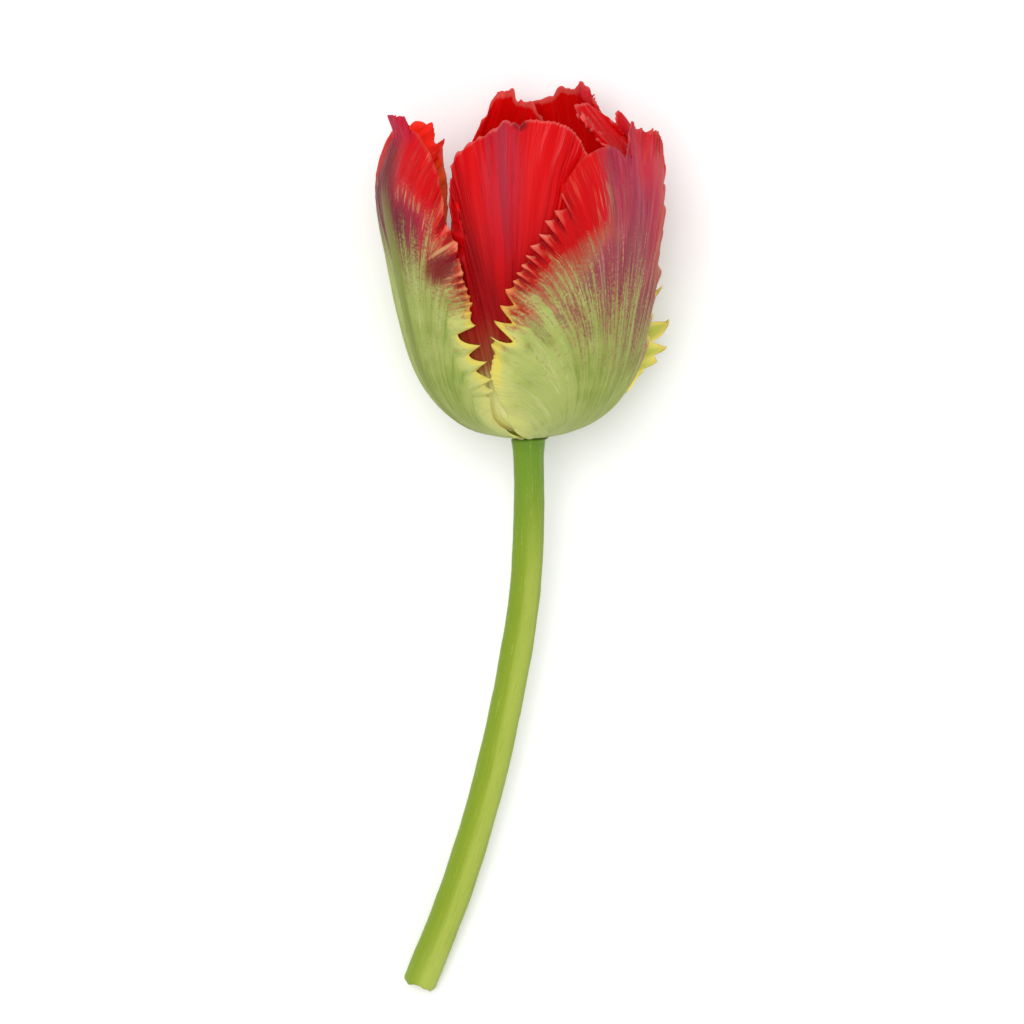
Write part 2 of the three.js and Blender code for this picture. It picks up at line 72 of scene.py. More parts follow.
def smooth(low: float, high: float, value: np.ndarray) -> np.ndarray:
    """A soft step from 0 at low to 1 at high."""
    share = np.clip((value - low) / (high - low), 0, 1)
    return share * share * (3 - 2 * share)


def chance(number: float, seed: float) -> float:
    """A repeatable number from 0 to 1 for each whole number and seed."""
    wave = math.sin(number * 12.9898 + seed * 78.233) * 43758.5453
    return wave - math.floor(wave)


def waves(at: np.ndarray, seed: float, count: float) -> np.ndarray:
    """A smooth wandering line between about -1 and 1.

    Args:
        at: where to read it.
        seed: picks one line out of many.
        count: how many waves fit in one unit of at.

    Returns:
        The line's height at each place.
    """
    turn = 2 * math.pi * count
    return sum(share * np.sin(turn * pace * at + WAVE_SHIFT * chance(k, seed))
               for k, (pace, share) in enumerate(WAVE_PARTS))


class Axis(Enum):
    """What a turn goes round."""

    X = 0
    Y = 1
    Z = 2


def about(axis: Axis, degrees: float) -> np.ndarray:
    """The turn about an axis.

    Args:
        axis: what it goes round.
        degrees: how far.

    Returns:
        A 3 by 3 matrix.
    """
    c, s = math.cos(math.radians(degrees)), math.sin(math.radians(degrees))
    i, j = (axis.value + 1) % 3, (axis.value + 2) % 3
    turn = np.eye(3)
    turn[i, i] = turn[j, j] = c
    turn[i, j], turn[j, i] = -s, s
    return turn


def circle(sides: int) -> np.ndarray:
    """The angles of points spaced evenly round a circle."""
    return 2 * math.pi * np.arange(sides) / sides


def column(steps: int, sides: int) -> tuple[np.ndarray, np.ndarray]:
    """Shares up a column and angles round it, as a grid's two axes."""
    return np.linspace(0, 1, steps + 1)[:, None], circle(sides)[None, :]


def upright(radius: np.ndarray, turn: np.ndarray, height: np.ndarray) -> np.ndarray:
    """Points round the z axis at these radii, angles and heights."""
    return np.stack([radius * np.cos(turn), radius * np.sin(turn), height + 0 * turn], -1)


class Spline:
    """A smooth curve through points in a plane, read by the share of its length."""

    STEPS = 4000
    HEADING_REACH = 0.002  # the share of the length to either side that a direction is taken over

    def __init__(self, points: list[Pair]) -> None:
        """Passes a curve through the points.

        Args:
            points: in the plane, first to last.
        """
        knots = np.asarray(points, float)
        last = len(knots) - 1
        run = np.linspace(0, last, self.STEPS + 1)
        start = np.minimum(run.astype(int), last - 1)
        w = (run - start)[:, None]
        before, here, there, after = (knots[np.clip(start + k, 0, last)] for k in (-1, 0, 1, 2))
        leave, arrive = (there - before) / 2, (after - here) / 2
        cubic = 2 * here - 2 * there + leave + arrive
        square = -3 * here + 3 * there - 2 * leave - arrive
        self.path = ((cubic * w + square) * w + leave) * w + here
        lengths = np.linalg.norm(np.diff(self.path, axis=0), axis=1)
        self.travelled = np.concatenate([[0], np.cumsum(lengths)])
        self.length = float(self.travelled[-1])

    def at(self, share: np.ndarray) -> np.ndarray:
        """The points at these shares of the length."""
        along = np.clip(share, 0, 1) * self.length
        return np.stack([np.interp(along, self.travelled, self.path[:, k]) for k in range(2)], -1)

    def heading(self, share: np.ndarray) -> np.ndarray:
        """The unit directions at these shares of the length."""
        step = (self.at(np.minimum(share + self.HEADING_REACH, 1))
                - self.at(np.maximum(share - self.HEADING_REACH, 0)))
        return step / np.linalg.norm(step, axis=-1, keepdims=True)

    def share_at_height(self, height: float) -> float:
        """The share of the length at which the curve, which rises all the way, reaches a height."""
        return float(np.interp(height, self.path[:, 1], self.travelled) / self.length)


# ---------------------------------------------------------------- how the flower lies


STEM_LINE = [(0, 0), (0.1, -22), (-1.7, -46), (-8.4, -81), (-17.2, -112), (-27.4, -138.5)]  # its x and z
CUT_RADIUS = 4.25
CUT_SIDES = 14  # of the frame's stem


class Lie:
    """Lays the upright flower down where the frame has it."""

    RISE = 8.8  # degrees that the axis rises towards the bloom
    LEAN = 2.4  # degrees that the bloom leans on the stem
    SEAT = 0.7  # that the bloom sits beside the stem's top, in millimetres

    def __init__(self) -> None:
        """Finds the place from the stem's cut end, the frame's lowest and furthest ring."""
        self.flower = about(Axis.X, self.RISE - 90)
        self.bloom = self.flower @ about(Axis.Y, -self.LEAN)
        self.place = np.zeros(3)
        line = Spline(STEM_LINE)
        (x, z), (dx, dz) = line.at(np.array(1.0)), line.heading(np.array(1.0))
        turn = circle(CUT_SIDES)[:, None]
        across, back = np.array([-dz, 0, dx]), np.array([0, 1, 0])
        ring = np.array([x, 0, z]) + CUT_RADIUS * (np.cos(turn) * across + np.sin(turn) * back)
        self.place = np.array(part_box("stem")[0]) / MM - self.stem_world(ring).min(axis=0)

    def stem_world(self, points: np.ndarray) -> np.ndarray:
        """Upright points of the stem, laid down, in millimetres."""
        return points @ self.flower.T + self.place

    def bloom_world(self, points: np.ndarray) -> np.ndarray:
        """Upright points of the bloom, laid down, in millimetres."""
        return points @ self.bloom.T + self.flower @ np.array([self.SEAT, 0, 0]) + self.place


# ---------------------------------------------------------------- painting with nodes


DIM = 0.86  # how far all colours are dimmed to suit the bright room
BLACK = (0.0, 0.0, 0.0, 1.0)


def tone(red: int, green: int, blue: int) -> Colour:
    """A colour as the renderer counts it, dimmed to suit the room.

    Args:
        red: its everyday red value, from 0 to 255.
        green: its green.
        blue: its blue.

    Returns:
        Linear red, green, blue and an alpha of 1.
    """
    def linear(part: int) -> float:
        """One channel with its screen curve taken off."""
        share = part / 255
        return share / 12.92 if share <= 0.04045 else ((share + 0.055) / 1.055) ** 2.4
    return linear(red) * DIM, linear(green) * DIM, linear(blue) * DIM, 1.0


class Wire:
    """A socket in a material's nodes that can stand in Python expressions."""

    def __init__(self, paint: Paint, socket: bpy.types.NodeSocket) -> None:
        """Wraps an output socket of one of paint's nodes."""
        self.paint = paint
        self.socket = socket

    def __add__(self, other: Wire | float) -> Wire:
        """Sum."""
        return self.paint.maths("ADD", self, other)

    def __sub__(self, other: Wire | float) -> Wire:
        """Difference."""
        return self.paint.maths("SUBTRACT", self, other)

    def __rsub__(self, other: float) -> Wire:
        """Difference from a number."""
        return self.paint.maths("SUBTRACT", other, self)

    def __mul__(self, other: Wire | float) -> Wire:
        """Product."""
        return self.paint.maths("MULTIPLY", self, other)

    __radd__ = __add__
    __rmul__ = __mul__

    def size(self) -> Wire:
        """The value without its sign."""
        return self.paint.maths("ABSOLUTE", self)

    def step(self, low: float, high: float) -> Wire:
        """A soft step from 0 at low to 1 at high."""
        return self.paint.node("ShaderNodeMapRange", {"interpolation_type": "SMOOTHSTEP"},
                               {"Value": self, "From Min": low, "From Max": high})


class Paint:
    """One material and the nodes that it is painted with."""

    SHEEN_ROUGHNESS = 0.4
    GLOW_REACH = 0.0012  # metres
    SHINE = 0.1
    NOISE_SPREAD = 1.6
    STREAK_DETAIL = 2.5
    STREAK_ROUGHNESS = 0.55

    def __init__(self, name: str, roughness: float, sheen: float = 0.0, glow: float = 0.0) -> None:
        """Starts a material.

        Args:
            name: the material's name.
            roughness: of the surface where nothing is painted over it.
            sheen: how much velvety light it has at grazing angles.
            glow: how much light wanders below the surface.
        """
        self.material = bpy.data.materials.new(name)
        self.material.use_nodes = True
        self.tree = self.material.node_tree
        self.tree.nodes.clear()
        self.surface = self.tree.nodes.new("ShaderNodeBsdfPrincipled")
        out = self.tree.nodes.new("ShaderNodeOutputMaterial")
        self.tree.links.new(self.surface.outputs[0], out.inputs["Surface"])
        fixed = {"Roughness": roughness, "Sheen Weight": sheen, "Sheen Roughness": self.SHEEN_ROUGHNESS,
                 "Subsurface Weight": glow, "Subsurface Scale": self.GLOW_REACH,
                 "Specular IOR Level": self.SHINE}
        for socket, value in fixed.items():
            self.surface.inputs[socket].default_value = value

    def node(self, kind: str, settings: dict, inputs: dict, output: str | int = 0) -> Wire:
        """Adds a node.

        Args:
            kind: the node's type.
            settings: its own properties, set first.
            inputs: values or wires by socket name, identifier or number.
            output: the output to hand on, named the same way.

        Returns:
            That output as a wire.
        """
        made = self.tree.nodes.new(kind)
        for key, value in settings.items():
            setattr(made, key, value)
        for key, value in inputs.items():
            self.feed(self.pick(made.inputs, key), value)
        return Wire(self, self.pick(made.outputs, output))

    @staticmethod
    def pick(sockets: bpy.types.bpy_prop_collection, key: str | int) -> bpy.types.NodeSocket:
        """The socket with this number, identifier or name."""
        if isinstance(key, int):
            return sockets[key]
        return next((s for s in sockets if s.identifier == key), None) or sockets[key]

    def feed(self, socket: bpy.types.NodeSocket, value: Wire | float | tuple) -> None:
        """Links a wire to a socket, or sets the socket's value."""
        if isinstance(value, Wire):
            self.tree.links.new(value.socket, socket)
        else:
            socket.default_value = value

    def maths(self, operation: str, first: Wire | float, second: Wire | float = 0.0) -> Wire:
        """One Math node."""
        return self.node("ShaderNodeMath", {"operation": operation}, {0: first, 1: second})

    def mix(self, first: Wire | tuple, second: Wire | tuple, share: Wire | float) -> Wire:
        """A mix of two colours."""
        return self.node("ShaderNodeMix", {"data_type": "RGBA"},
                         {"Factor_Float": share, "A_Color": first, "B_Color": second}, "Result_Color")

    def read(self, name: str) -> Wire:
        """A number that the mesh stores at each of its points."""
        return self.node("ShaderNodeAttribute", {"attribute_name": name}, {}, "Fac")

    def noise(self, vector: Wire, scale: float, detail: float = 2.0, roughness: float = 0.5) -> Wire:
        """Soft noise, mostly between -0.5 and 0.5."""
        made = self.node("ShaderNodeTexNoise", {},
                         {"Vector": vector, "Scale": scale, "Detail": detail, "Roughness": roughness})
        return (made - 0.5) * self.NOISE_SPREAD

    def streaks(self, across: Wire, along: Wire, count: float, lengthwise: float, seed: float) -> Wire:
        """Noise drawn out along the veins.

        Args:
            across: the place across the veins.
            along: the place along them.
            count: how many streaks there are to a unit of across.
            lengthwise: how many times each of them changes to a unit of along.
            seed: picks one pattern out of many.

        Returns:
            Values mostly between -0.5 and 0.5.
        """
        place = self.node("ShaderNodeCombineXYZ", {}, {0: across * count, 1: along * lengthwise, 2: seed})
        return self.noise(place, 1.0, self.STREAK_DETAIL, self.STREAK_ROUGHNESS)

    def grain(self, scale: float, detail: float = 2.0) -> Wire:
        """Noise that is alike in all directions, with so many waves to a metre."""
        place = self.node("ShaderNodeTexCoord", {}, {}, "Object")
        return self.noise(place, scale, detail)

    def finish(self, colour: Wire, height: Wire | None = None, depth: float = 0.0,
               roughness: Wire | None = None, lit: Wire | None = None) -> None:
        """Feeds the surface.

        Args:
            colour: its colour.
            height: relief around zero.
            depth: how deep one unit of that relief is, in metres.
            roughness: where it changes over the surface.
            lit: how much of its colour the surface gives off as a painted glow, which stands in for light
                that has passed through from the other side.
        """
        self.feed(self.surface.inputs["Base Color"], colour)
        # painted glow: the emission stands in for light passing through thin tissue
        if lit is not None:
            self.feed(self.surface.inputs["Emission Color"], self.mix(BLACK, colour, lit))
            self.surface.inputs["Emission Strength"].default_value = 1.0
        if roughness is not None:
            self.feed(self.surface.inputs["Roughness"], roughness)
        if height is not None:
            bump = self.node("ShaderNodeBump", {}, {"Strength": 1.0, "Distance": depth, "Height": height})
            self.feed(self.surface.inputs["Normal"], bump)


# ---------------------------------------------------------------- meshes


@dataclass
class Shape:
    """Points, faces and what is stored at them, ready to become one piece."""

    points: np.ndarray
    faces: list
    slots: list[int]
    stored: dict[str, np.ndarray] = field(default_factory=dict)

    def piece(self, name: str, materials: list[bpy.types.Material], slot: str, node: str) -> bpy.types.Object:
        """Makes the object and ties it to the frame.

        Args:
            name: the piece's name.
            materials: one for each number in slots.
            slot: the record's material slot; not used.
            node: the frame's node that the piece stands for.

        Returns:
            The object.
        """
        mesh = bpy.data.meshes.new(name)
        mesh.from_pydata((self.points * MM).tolist(), [], self.faces)
        for material in materials:
            mesh.materials.append(material)
        mesh.polygons.foreach_set("material_index", self.slots)
        mesh.polygons.foreach_set("use_smooth", [True] * len(self.faces))
        for key, values in self.stored.items():
            kept = mesh.attributes.new(key, "FLOAT", "POINT")
            kept.data.foreach_set("value", np.ascontiguousarray(values, np.float32))
        mesh.update()
        made = bpy.data.objects.new(name, mesh)
        bpy.context.scene.collection.objects.link(made)
        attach(made, "root")
        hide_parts(node)
        log.info("%s: %d faces", name, len(self.faces))
        return made


def tube(rings: np.ndarray, stored: dict[str, np.ndarray]) -> Shape:
    """A closed body from rings of points, each facing on to the next.

    Args:
        rings: points by ring, then by side.
        stored: what the mesh keeps at each point, by ring and side.

    Returns:
        The body, with its two ends closed by the last material.
    """
    count, sides = rings.shape[:2]
    points = [rings.reshape(-1, 3), rings[0].mean(axis=0)[None], rings[-1].mean(axis=0)[None]]
    faces, slots = [], []
    for j in range(count - 1):
        for i in range(sides):
            a, b = j * sides + i, j * sides + (i + 1) % sides
            faces.append((a, b, b + sides, a + sides))
            slots.append(0)
    first, last = count * sides, count * sides + 1
    for i in range(sides):
        a, b = i, (i + 1) % sides
        faces.append((first, b, a))
        faces.append((last, (count - 1) * sides + a, (count - 1) * sides + b))
        slots += [1, 1]
    kept = {key: np.concatenate([values.ravel(), [values[0].mean(), values[-1].mean()]])
            for key, values in stored.items()}
    return Shape(np.concatenate(points), faces, slots, kept)


def plain_piece(name: str, rings: np.ndarray, finish: bpy.types.Material, slot: str,
                node: str) -> bpy.types.Object:
    """A closed piece of one finish, which can read the share of its height.

    Args:
        name: the piece's name.
        rings: points by ring, then by side, laid down.
        finish: its one material.
        slot: the record's material slot.
        node: the frame's node that the piece stands for.

    Returns:
        The object.
    """
    share = np.broadcast_to(np.linspace(0, 1, len(rings))[:, None], rings.shape[:2])
    body = tube(rings, {"share": share})
    body.slots = [0] * len(body.slots)
    return body.piece(name, [finish], slot, node)


# ---------------------------------------------------------------- tepals


class Whorl(Enum):
    """The two rings of tepals."""

    OUTER = ((3.4, 0.5), (9, 1.1), (16.5, 3.8), (23.1, 9.3), (28.5, 18.5), (32, 32), (34.7, 48)), 0.0, 0.45
    INNER = ((3.4, 1.9), (8.8, 2.5), (15.3, 5.3), (21.2, 10.9), (26.3, 19.8), (29.9, 32.6)), 1.5, 0.25

    def __init__(self, bowl: tuple[Pair, ...], table: float, comb: float) -> None:
        """Names what each ring's value holds.

        Args:
            bowl: the profile that its tepals share low down, as (radius, height).
            table: how high the table presses them.
            comb: how far their teeth stand out as ridges.
        """
        self.bowl = bowl
        self.table = table
        self.comb = comb


@dataclass(frozen=True)
class Swell:
    """A place where the sheet is pushed out, or in if the amount is below zero."""

    angle: float
    height: float
    wide: float
    high: float
    amount: float

    def push(self, angle: np.ndarray, height: np.ndarray) -> np.ndarray:
        """How far it pushes at each place."""
        across, up = (angle - self.angle) / self.wide, (height - self.height) / self.high
        return self.amount * np.exp(-(across ** 2) - up ** 2)


@dataclass(frozen=True)
class Half:
    """One side of a tepal, from the midrib to its margin.

    margin runs from the tip to the foot in (degrees from the midrib, height). teeth are runs along it: from
    and to as shares of it, count, depth. fingers are the single tips and notches that follow: place, reach
    past it. foot is the foot's half-angle, band the width of the strip along the margin that the teeth are
    cut in. folds is how far the half folds in near its top, flick how far a tip leans outwards as a share of
    its reach.
    """

    margin: tuple[Pair, ...]
    teeth: tuple[tuple[float, float, int, float], ...]
    fingers: tuple[Pair, ...] = ()
    foot: float = 45.0
    band: float = 7.0
    folds: float = 0.0
    ruffle: float = 0.5
    flick: float = 0.22


@dataclass(frozen=True)
class Blot:
    """A soft patch of colour on a tepal, some of them painted shade or light: its middle, its spread, how it
    slants, its colour and strength.
    """

    turn: float
    rise: float
    wide: float
    high: float
    slant: float  # how far its middle line moves in rise to a unit of turn
    colour: Colour
    strength: float = 0.9

    SOFTNESS = 1.3
    RAGGED = 1.5

    def over(self, petal: PetalFinish, colour: Wire) -> Wire:
        """Lays it over a colour.

        Args:
            petal: the finish that it belongs to.
            colour: what is there already.

        Returns:
            The new colour.
        """
        across = (petal.turn - self.turn) * (1 / self.wide)
        up = (petal.rise - (petal.turn - self.turn) * self.slant - self.rise) * (1 / self.high)
        ragged = petal.fine * 0.6 + petal.hair * 0.4
        near = 1 - (across * across + up * up + ragged * self.RAGGED).step(0.0, self.SOFTNESS)
        return petal.mix(colour, self.colour, near * self.strength)


@dataclass(frozen=True)
class Look:
    """How a tepal is coloured. Heights are shares of the bloom's, sides are the minus and plus halves."""

    green_top: float = 0.42
    green_fade: float = 0.22
    green_climb: float = 0.0  # how much higher the green ends on the minus side, to half a unit of turn
    blush: Colour = tone(150, 78, 84)
    pale: Colour = tone(202, 136, 128)  # the light streaks in the blush
    rib: Colour = tone(176, 44, 80)
    rib_width: float = 0.14
    rib_green: float = 0.8  # the height up to which the midrib's middle is green
    red_from: float = 0.42
    red_reach: float = 45.0  # millimetres in from the margin, to a unit of height above red_from
    red_sides: Pair = (1.0, 1.0)
    flank: float = 0.0  # how red the plus side's far edge is
    feathers: float = 0.6
    fray: float = 1.0  # how ragged the streaks' ends are
    lining_lit: float = 0.1  # how strongly the lining gives off a painted glow near the top, standing in for light passing through
    blots: tuple[Blot, ...] = ()
    lining_blots: tuple[Blot, ...] = ()


@dataclass
class Tepal:
    """One tepal as a thin sheet: veins fan out from its narrow foot to each point of its cut margin."""

    name: str
    whorl: Whorl
    seed: int
    compass: float
    crown: tuple[Pair, ...]
    minus: Half
    plus: Half
    swells: tuple[Swell, ...] = ()
    knob: float = 0.0
    look: Look = Look()

    # the unrolled sheet
    MM_PER_DEGREE = 0.6  # of arc, near the widest part of the bloom
    FOOT_FLARE = 0.4  # the share of the foot's width that the outermost veins take
    FOOT_BEND = 13  # how few veins these are
    VEIN_BEND = 3
    BODY_ROWS = 30
    BAND_ROWS = 10
    ROW_CROWDING = 1.3
    BAND_SHARE = 0.35  # the most of a vein that the strip of teeth takes
    NOTCH_LIMIT = 0.8
    COMBED = (0.28, 0.46, 1.0, 0.8)  # where along the margin the teeth turn out from the veins

    # large teeth
    TOOTH_LEAN = 0.62
    TOOTH_RANGE = (0.5, 1.5)
    TOOTH_DRIFT = 0.5  # how unevenly they are spaced, as a share of their pitch
    TOOTH_LIFT = 0.25  # how far they point upwards rather than straight out of the margin
    TIP_BEND, NOTCH_BEND = 1.7, 1.5  # how hollow the way to a tip and to a notch is

    # small barbs between them
    STEP = 0.55  # from column to column
    BARB = 0.3
    BARB_PITCH = 1.4
    BARB_SPACING = (0.6, 0.8)  # the least pitch and what chance adds to it
    BARB_LEAN = 0.45
    BARB_BEND = 1.4
    BARB_RIDGE = 0.12
    BARB_END = (0.95, 0.75)  # where along the margin they die away towards the foot
    BARB_SHADE = 8  # how far in from the margin the finishes see them

    # thickness and folds
    THICKNESS = 0.5
    MARGIN_THICKNESS = 0.16
    MARGIN_TAPER = 5
    FOLD_UNIT = 40  # degrees
    FOLD_SPREAD = 1.9
    FOLD_END = 56  # degrees from the midrib beyond which a fold grows no more
    FOLD_HEIGHT = 8

    # relief: reaches are millimetres in from the margin, starts are shares of a vein
    OPEN_VEINS = 45.0  # the sheet's full width in millimetres above which its waves are full height
    RUFFLES, RUFFLE_REACH, RUFFLE_START = 6, 16, (0.15, 0.4)
    CRIMPS, CRIMP_REACH, CRIMP_HEIGHT = 15, 12, 0.22
    COMB_REACH, COMB_START = 9, (0.1, 0.3)
    RIB_HEIGHT, RIB_WIDTH, RIB_START, RIB_END = 0.35, 3.5, (0.05, 0.2), 8
    VEINS, VEIN_HEIGHT, VEIN_DRIFT, VEIN_START = 9, 0.14, 0.02, (0.1, 0.4)
    KNOB_REACH, KNOB_WIDTH, KNOB_CREASES = 9, 0.12, (14, 3, 1.3)
    FREE = (0.4, 0.8)  # where along the veins an inner tepal comes free of the outer ones
    TUCK = 0.6  # how far inwards it stays below that

    # units of what the finishes read
    BLOOM_HEIGHT = 85.0
    TURN_UNIT = 60  # degrees

    def __post_init__(self) -> None:
        """Works out the profile and the two margins."""
        self.profile = Spline([*self.whorl.bowl, *self.crown])
        self.length = self.profile.length
        self.margins = {}
        for sign, half in ((-1, self.minus), (1, self.plus)):
            points = [(angle * self.MM_PER_DEGREE, self.profile.share_at_height(height) * self.length)
                      for angle, height in half.margin]
            self.margins[sign] = Spline(points)

    def sided(self, place: np.ndarray, key: str) -> np.ndarray:
        """One field of the half that each place is on, below zero or not."""
        return np.where(place < 0, getattr(self.minus, key), getattr(self.plus, key))

    def sheet(self, angle: np.ndarray, share: np.ndarray, lie: Lie) -> np.ndarray:
        """The outer face, laid down and pressed flat by the table.

        Args:
            angle: degrees from the midrib.
            share: of the profile's length.
            lie: lays it down.

        Returns:
            Points in millimetres.
        """
        at = self.profile.at(share)
        beyond = (np.maximum(share - 1, 0) * self.length)[..., None]
        at = at + beyond * self.profile.heading(np.array(1.0))
        radius, height = at[..., 0], at[..., 1]
        for swell in self.swells:
            radius = radius + swell.push(angle, height)
        turned = np.minimum(np.abs(angle), self.FOLD_END) / self.FOLD_UNIT
        folded = turned ** self.FOLD_SPREAD * np.clip(share, 0, 1) ** self.FOLD_HEIGHT
        radius = radius - self.sided(angle, "folds") * folded
        world = lie.bloom_world(upright(radius, np.radians(self.compass + angle), height))
        world[..., 2] = np.maximum(world[..., 2], self.whorl.table)
        return world

    def outward(self, sign: int, at: np.ndarray) -> np.ndarray:
        """The directions in which teeth point on the unrolled sheet.

        Args:
            sign: 1 or -1 for the half.
            at: places as shares of the margin.

        Returns:
            Unit vectors.
        """
        heading = self.margins[sign].heading(at)
        out = sign * np.stack([-heading[:, 1], heading[:, 0]], -1) + np.array([0, self.TOOTH_LIFT])
        return out / np.linalg.norm(out, axis=-1, keepdims=True)

    def columns(self, sign: int) -> tuple[np.ndarray, np.ndarray, np.ndarray]:
        """The margin's tips and notches.

        Args:
            sign: 1 or -1 for the half.

        Returns:
            The place of each column as a share of the margin, how far it reaches past the margin's line, and
            the relief of the teeth there, from -1 in a notch to 1 along a tooth's middle.
        """
        half = self.plus if sign > 0 else self.minus
        length = self.margins[sign].length
        at, reach, relief = [0.0], [0.0], [0.0]

        def run_on(end: float, goal: float, bend: float, ridge: float) -> None:
            """Adds columns up to a tip or notch.

            Args:
                end: its place as a share of the margin.
                goal: its reach.
                bend: how hollow the way to it is.
                ridge: its relief.
            """
            start, level, rib = at[-1], reach[-1], relief[-1]
            count = max(4, math.ceil((end - start) * length / self.STEP))
            for k in range(1, count + 1):
                share = k / count
                eased = share ** bend
                at.append(start + (end - start) * share)
                reach.append(level + (goal - level) * eased)
                relief.append(rib + (ridge - rib) * (3 - 2 * share) * share * share)

        def plain_to(end: float) -> None:
            """Adds the small barbs of a stretch with no large teeth.

            Args:
                end: as a share of the margin.
            """
            least, more = self.BARB_SPACING
            while at[-1] < end - 1e-6:
                i = len(at)
                pitch = self.BARB_PITCH * (least + more * chance(i, self.seed + sign))
                stop = min(end, at[-1] + pitch / length)
                fade = float(smooth(*self.BARB_END, np.array(stop)))
                size = self.BARB * fade * chance(i, self.seed + 9)
                ridge = self.BARB_RIDGE * fade
                run_on(at[-1] + (stop - at[-1]) * self.BARB_LEAN, size, self.BARB_BEND, ridge)
                run_on(stop, -0.3 * size, self.BARB_BEND, -ridge)

        low, high = self.TOOTH_RANGE
        seed = self.seed + (4 if sign > 0 else 5)
        for run, (start, end, count, depth) in enumerate(half.teeth):
            plain_to(start)
            pitch = (end - start) / count
            for i in range(count):
                size = depth * (low + (high - low) * chance(i + 17 * run, seed))
                drift = self.TOOTH_DRIFT * (chance(i + 29 * run, seed) - 0.5) if i + 1 < count else 0
                notch = start + pitch * (i + 1 + drift)
                tip = at[-1] + (notch - at[-1]) * (1 - self.TOOTH_LEAN)
                run_on(tip, 0.5 * size, self.TIP_BEND, 1.0)
                run_on(notch, -0.5 * size, self.NOTCH_BEND, -1.0)
        for place, goal in half.fingers:
            rising = goal > reach[-1]
            run_on(place, goal, self.TIP_BEND if rising else self.NOTCH_BEND, 1.0 if rising else -1.0)
        plain_to(1.0)
        return np.array(at), np.array(reach), np.array(relief)

    def shape(self, lie: Lie) -> Shape:
        """The closed sheet with both its faces and its rim.

        Args:
            lie: lays it down.

        Returns:
            The shape, with what the finishes read stored at its points.
        """
        sides = []
        for sign in (-1, 1):
            at, reach, relief = self.columns(sign)
            end, out = self.margins[sign].at(at), self.outward(sign, at)
            part = np.stack([sign * at, reach, relief, *end.T, *out.T])
            sides.append(part[:, :0:-1] if sign < 0 else part)
        rows = np.concatenate(sides, axis=1)
        vein, reach, relief, end_x, end_y, out_x, out_y = (row[:, None] for row in rows)
        foot_x = (vein + (vein ** self.FOOT_BEND - vein) * self.FOOT_FLARE) * self.MM_PER_DEGREE
        foot_x = foot_x * self.sided(vein, "foot")
        band = np.minimum(self.sided(vein, "band"), self.BAND_SHARE * end_y)
        reach = np.clip(reach, -self.NOTCH_LIMIT * band, band)
        before = 1 - band / end_y
        combed = smooth(*self.COMBED[:2], np.abs(vein)) * smooth(*self.COMBED[2:], np.abs(vein))
        turn_x = foot_x + (end_x - foot_x) * before ** self.VEIN_BEND
        turn_x = turn_x + (end_x - out_x * band - turn_x) * combed
        turn_y = end_y * before + (end_y - out_y * band - end_y * before) * combed
        body = (np.arange(self.BODY_ROWS) / self.BODY_ROWS)[None, :] ** self.ROW_CROWDING + 0 * vein
        into = (np.arange(self.BAND_ROWS + 1) / self.BAND_ROWS)[None, :] + 0 * vein
        x = np.concatenate([foot_x + (turn_x - foot_x) * body ** self.VEIN_BEND,
                            turn_x + (end_x + out_x * reach - turn_x) * into], axis=1)
        y = np.concatenate([turn_y * body, turn_y + (end_y + out_y * reach - turn_y) * into], axis=1)
        angle, share = x / self.MM_PER_DEGREE, y / self.length
        along = np.concatenate([body * before, before + (1 - before) * into], axis=1)
        depth = np.concatenate([0 * body, into], axis=1)
        base = self.sheet(angle, share, lie)
        edge = (1 - along) * end_y + np.maximum(reach, 0) * (1 - depth)
        room = np.linalg.norm(np.gradient(base, axis=0), axis=-1) / np.abs(np.gradient(vein[:, 0]))[:, None]
        room = np.clip(room / self.OPEN_VEINS, 0, 1)
        push = self.relief(vein, along, angle, edge, relief, depth, reach, room)
        outer = base + self.normals(base) * push[..., None]
        taper = smooth(0, self.MARGIN_TAPER, edge)
        thickness = self.MARGIN_THICKNESS + (self.THICKNESS - self.MARGIN_THICKNESS) * taper
        inner = outer - self.normals(outer) * thickness[..., None]
        floor = self.whorl.table + TABLE_GAP
        outer[..., 2] = np.maximum(outer[..., 2], floor)
        inner[..., 2] = np.maximum(inner[..., 2], floor + 0.8 * thickness)
        rise = self.profile.at(share)[..., 1] / self.BLOOM_HEIGHT
        stored = {"vein": np.broadcast_to(vein, along.shape), "along": along, "rise": rise,
                  "turn": angle / self.TURN_UNIT, "edge": edge,
                  "barb": np.broadcast_to(relief, along.shape) * smooth(self.BARB_SHADE, 0, edge)}
        return self.skin(outer, inner, stored)

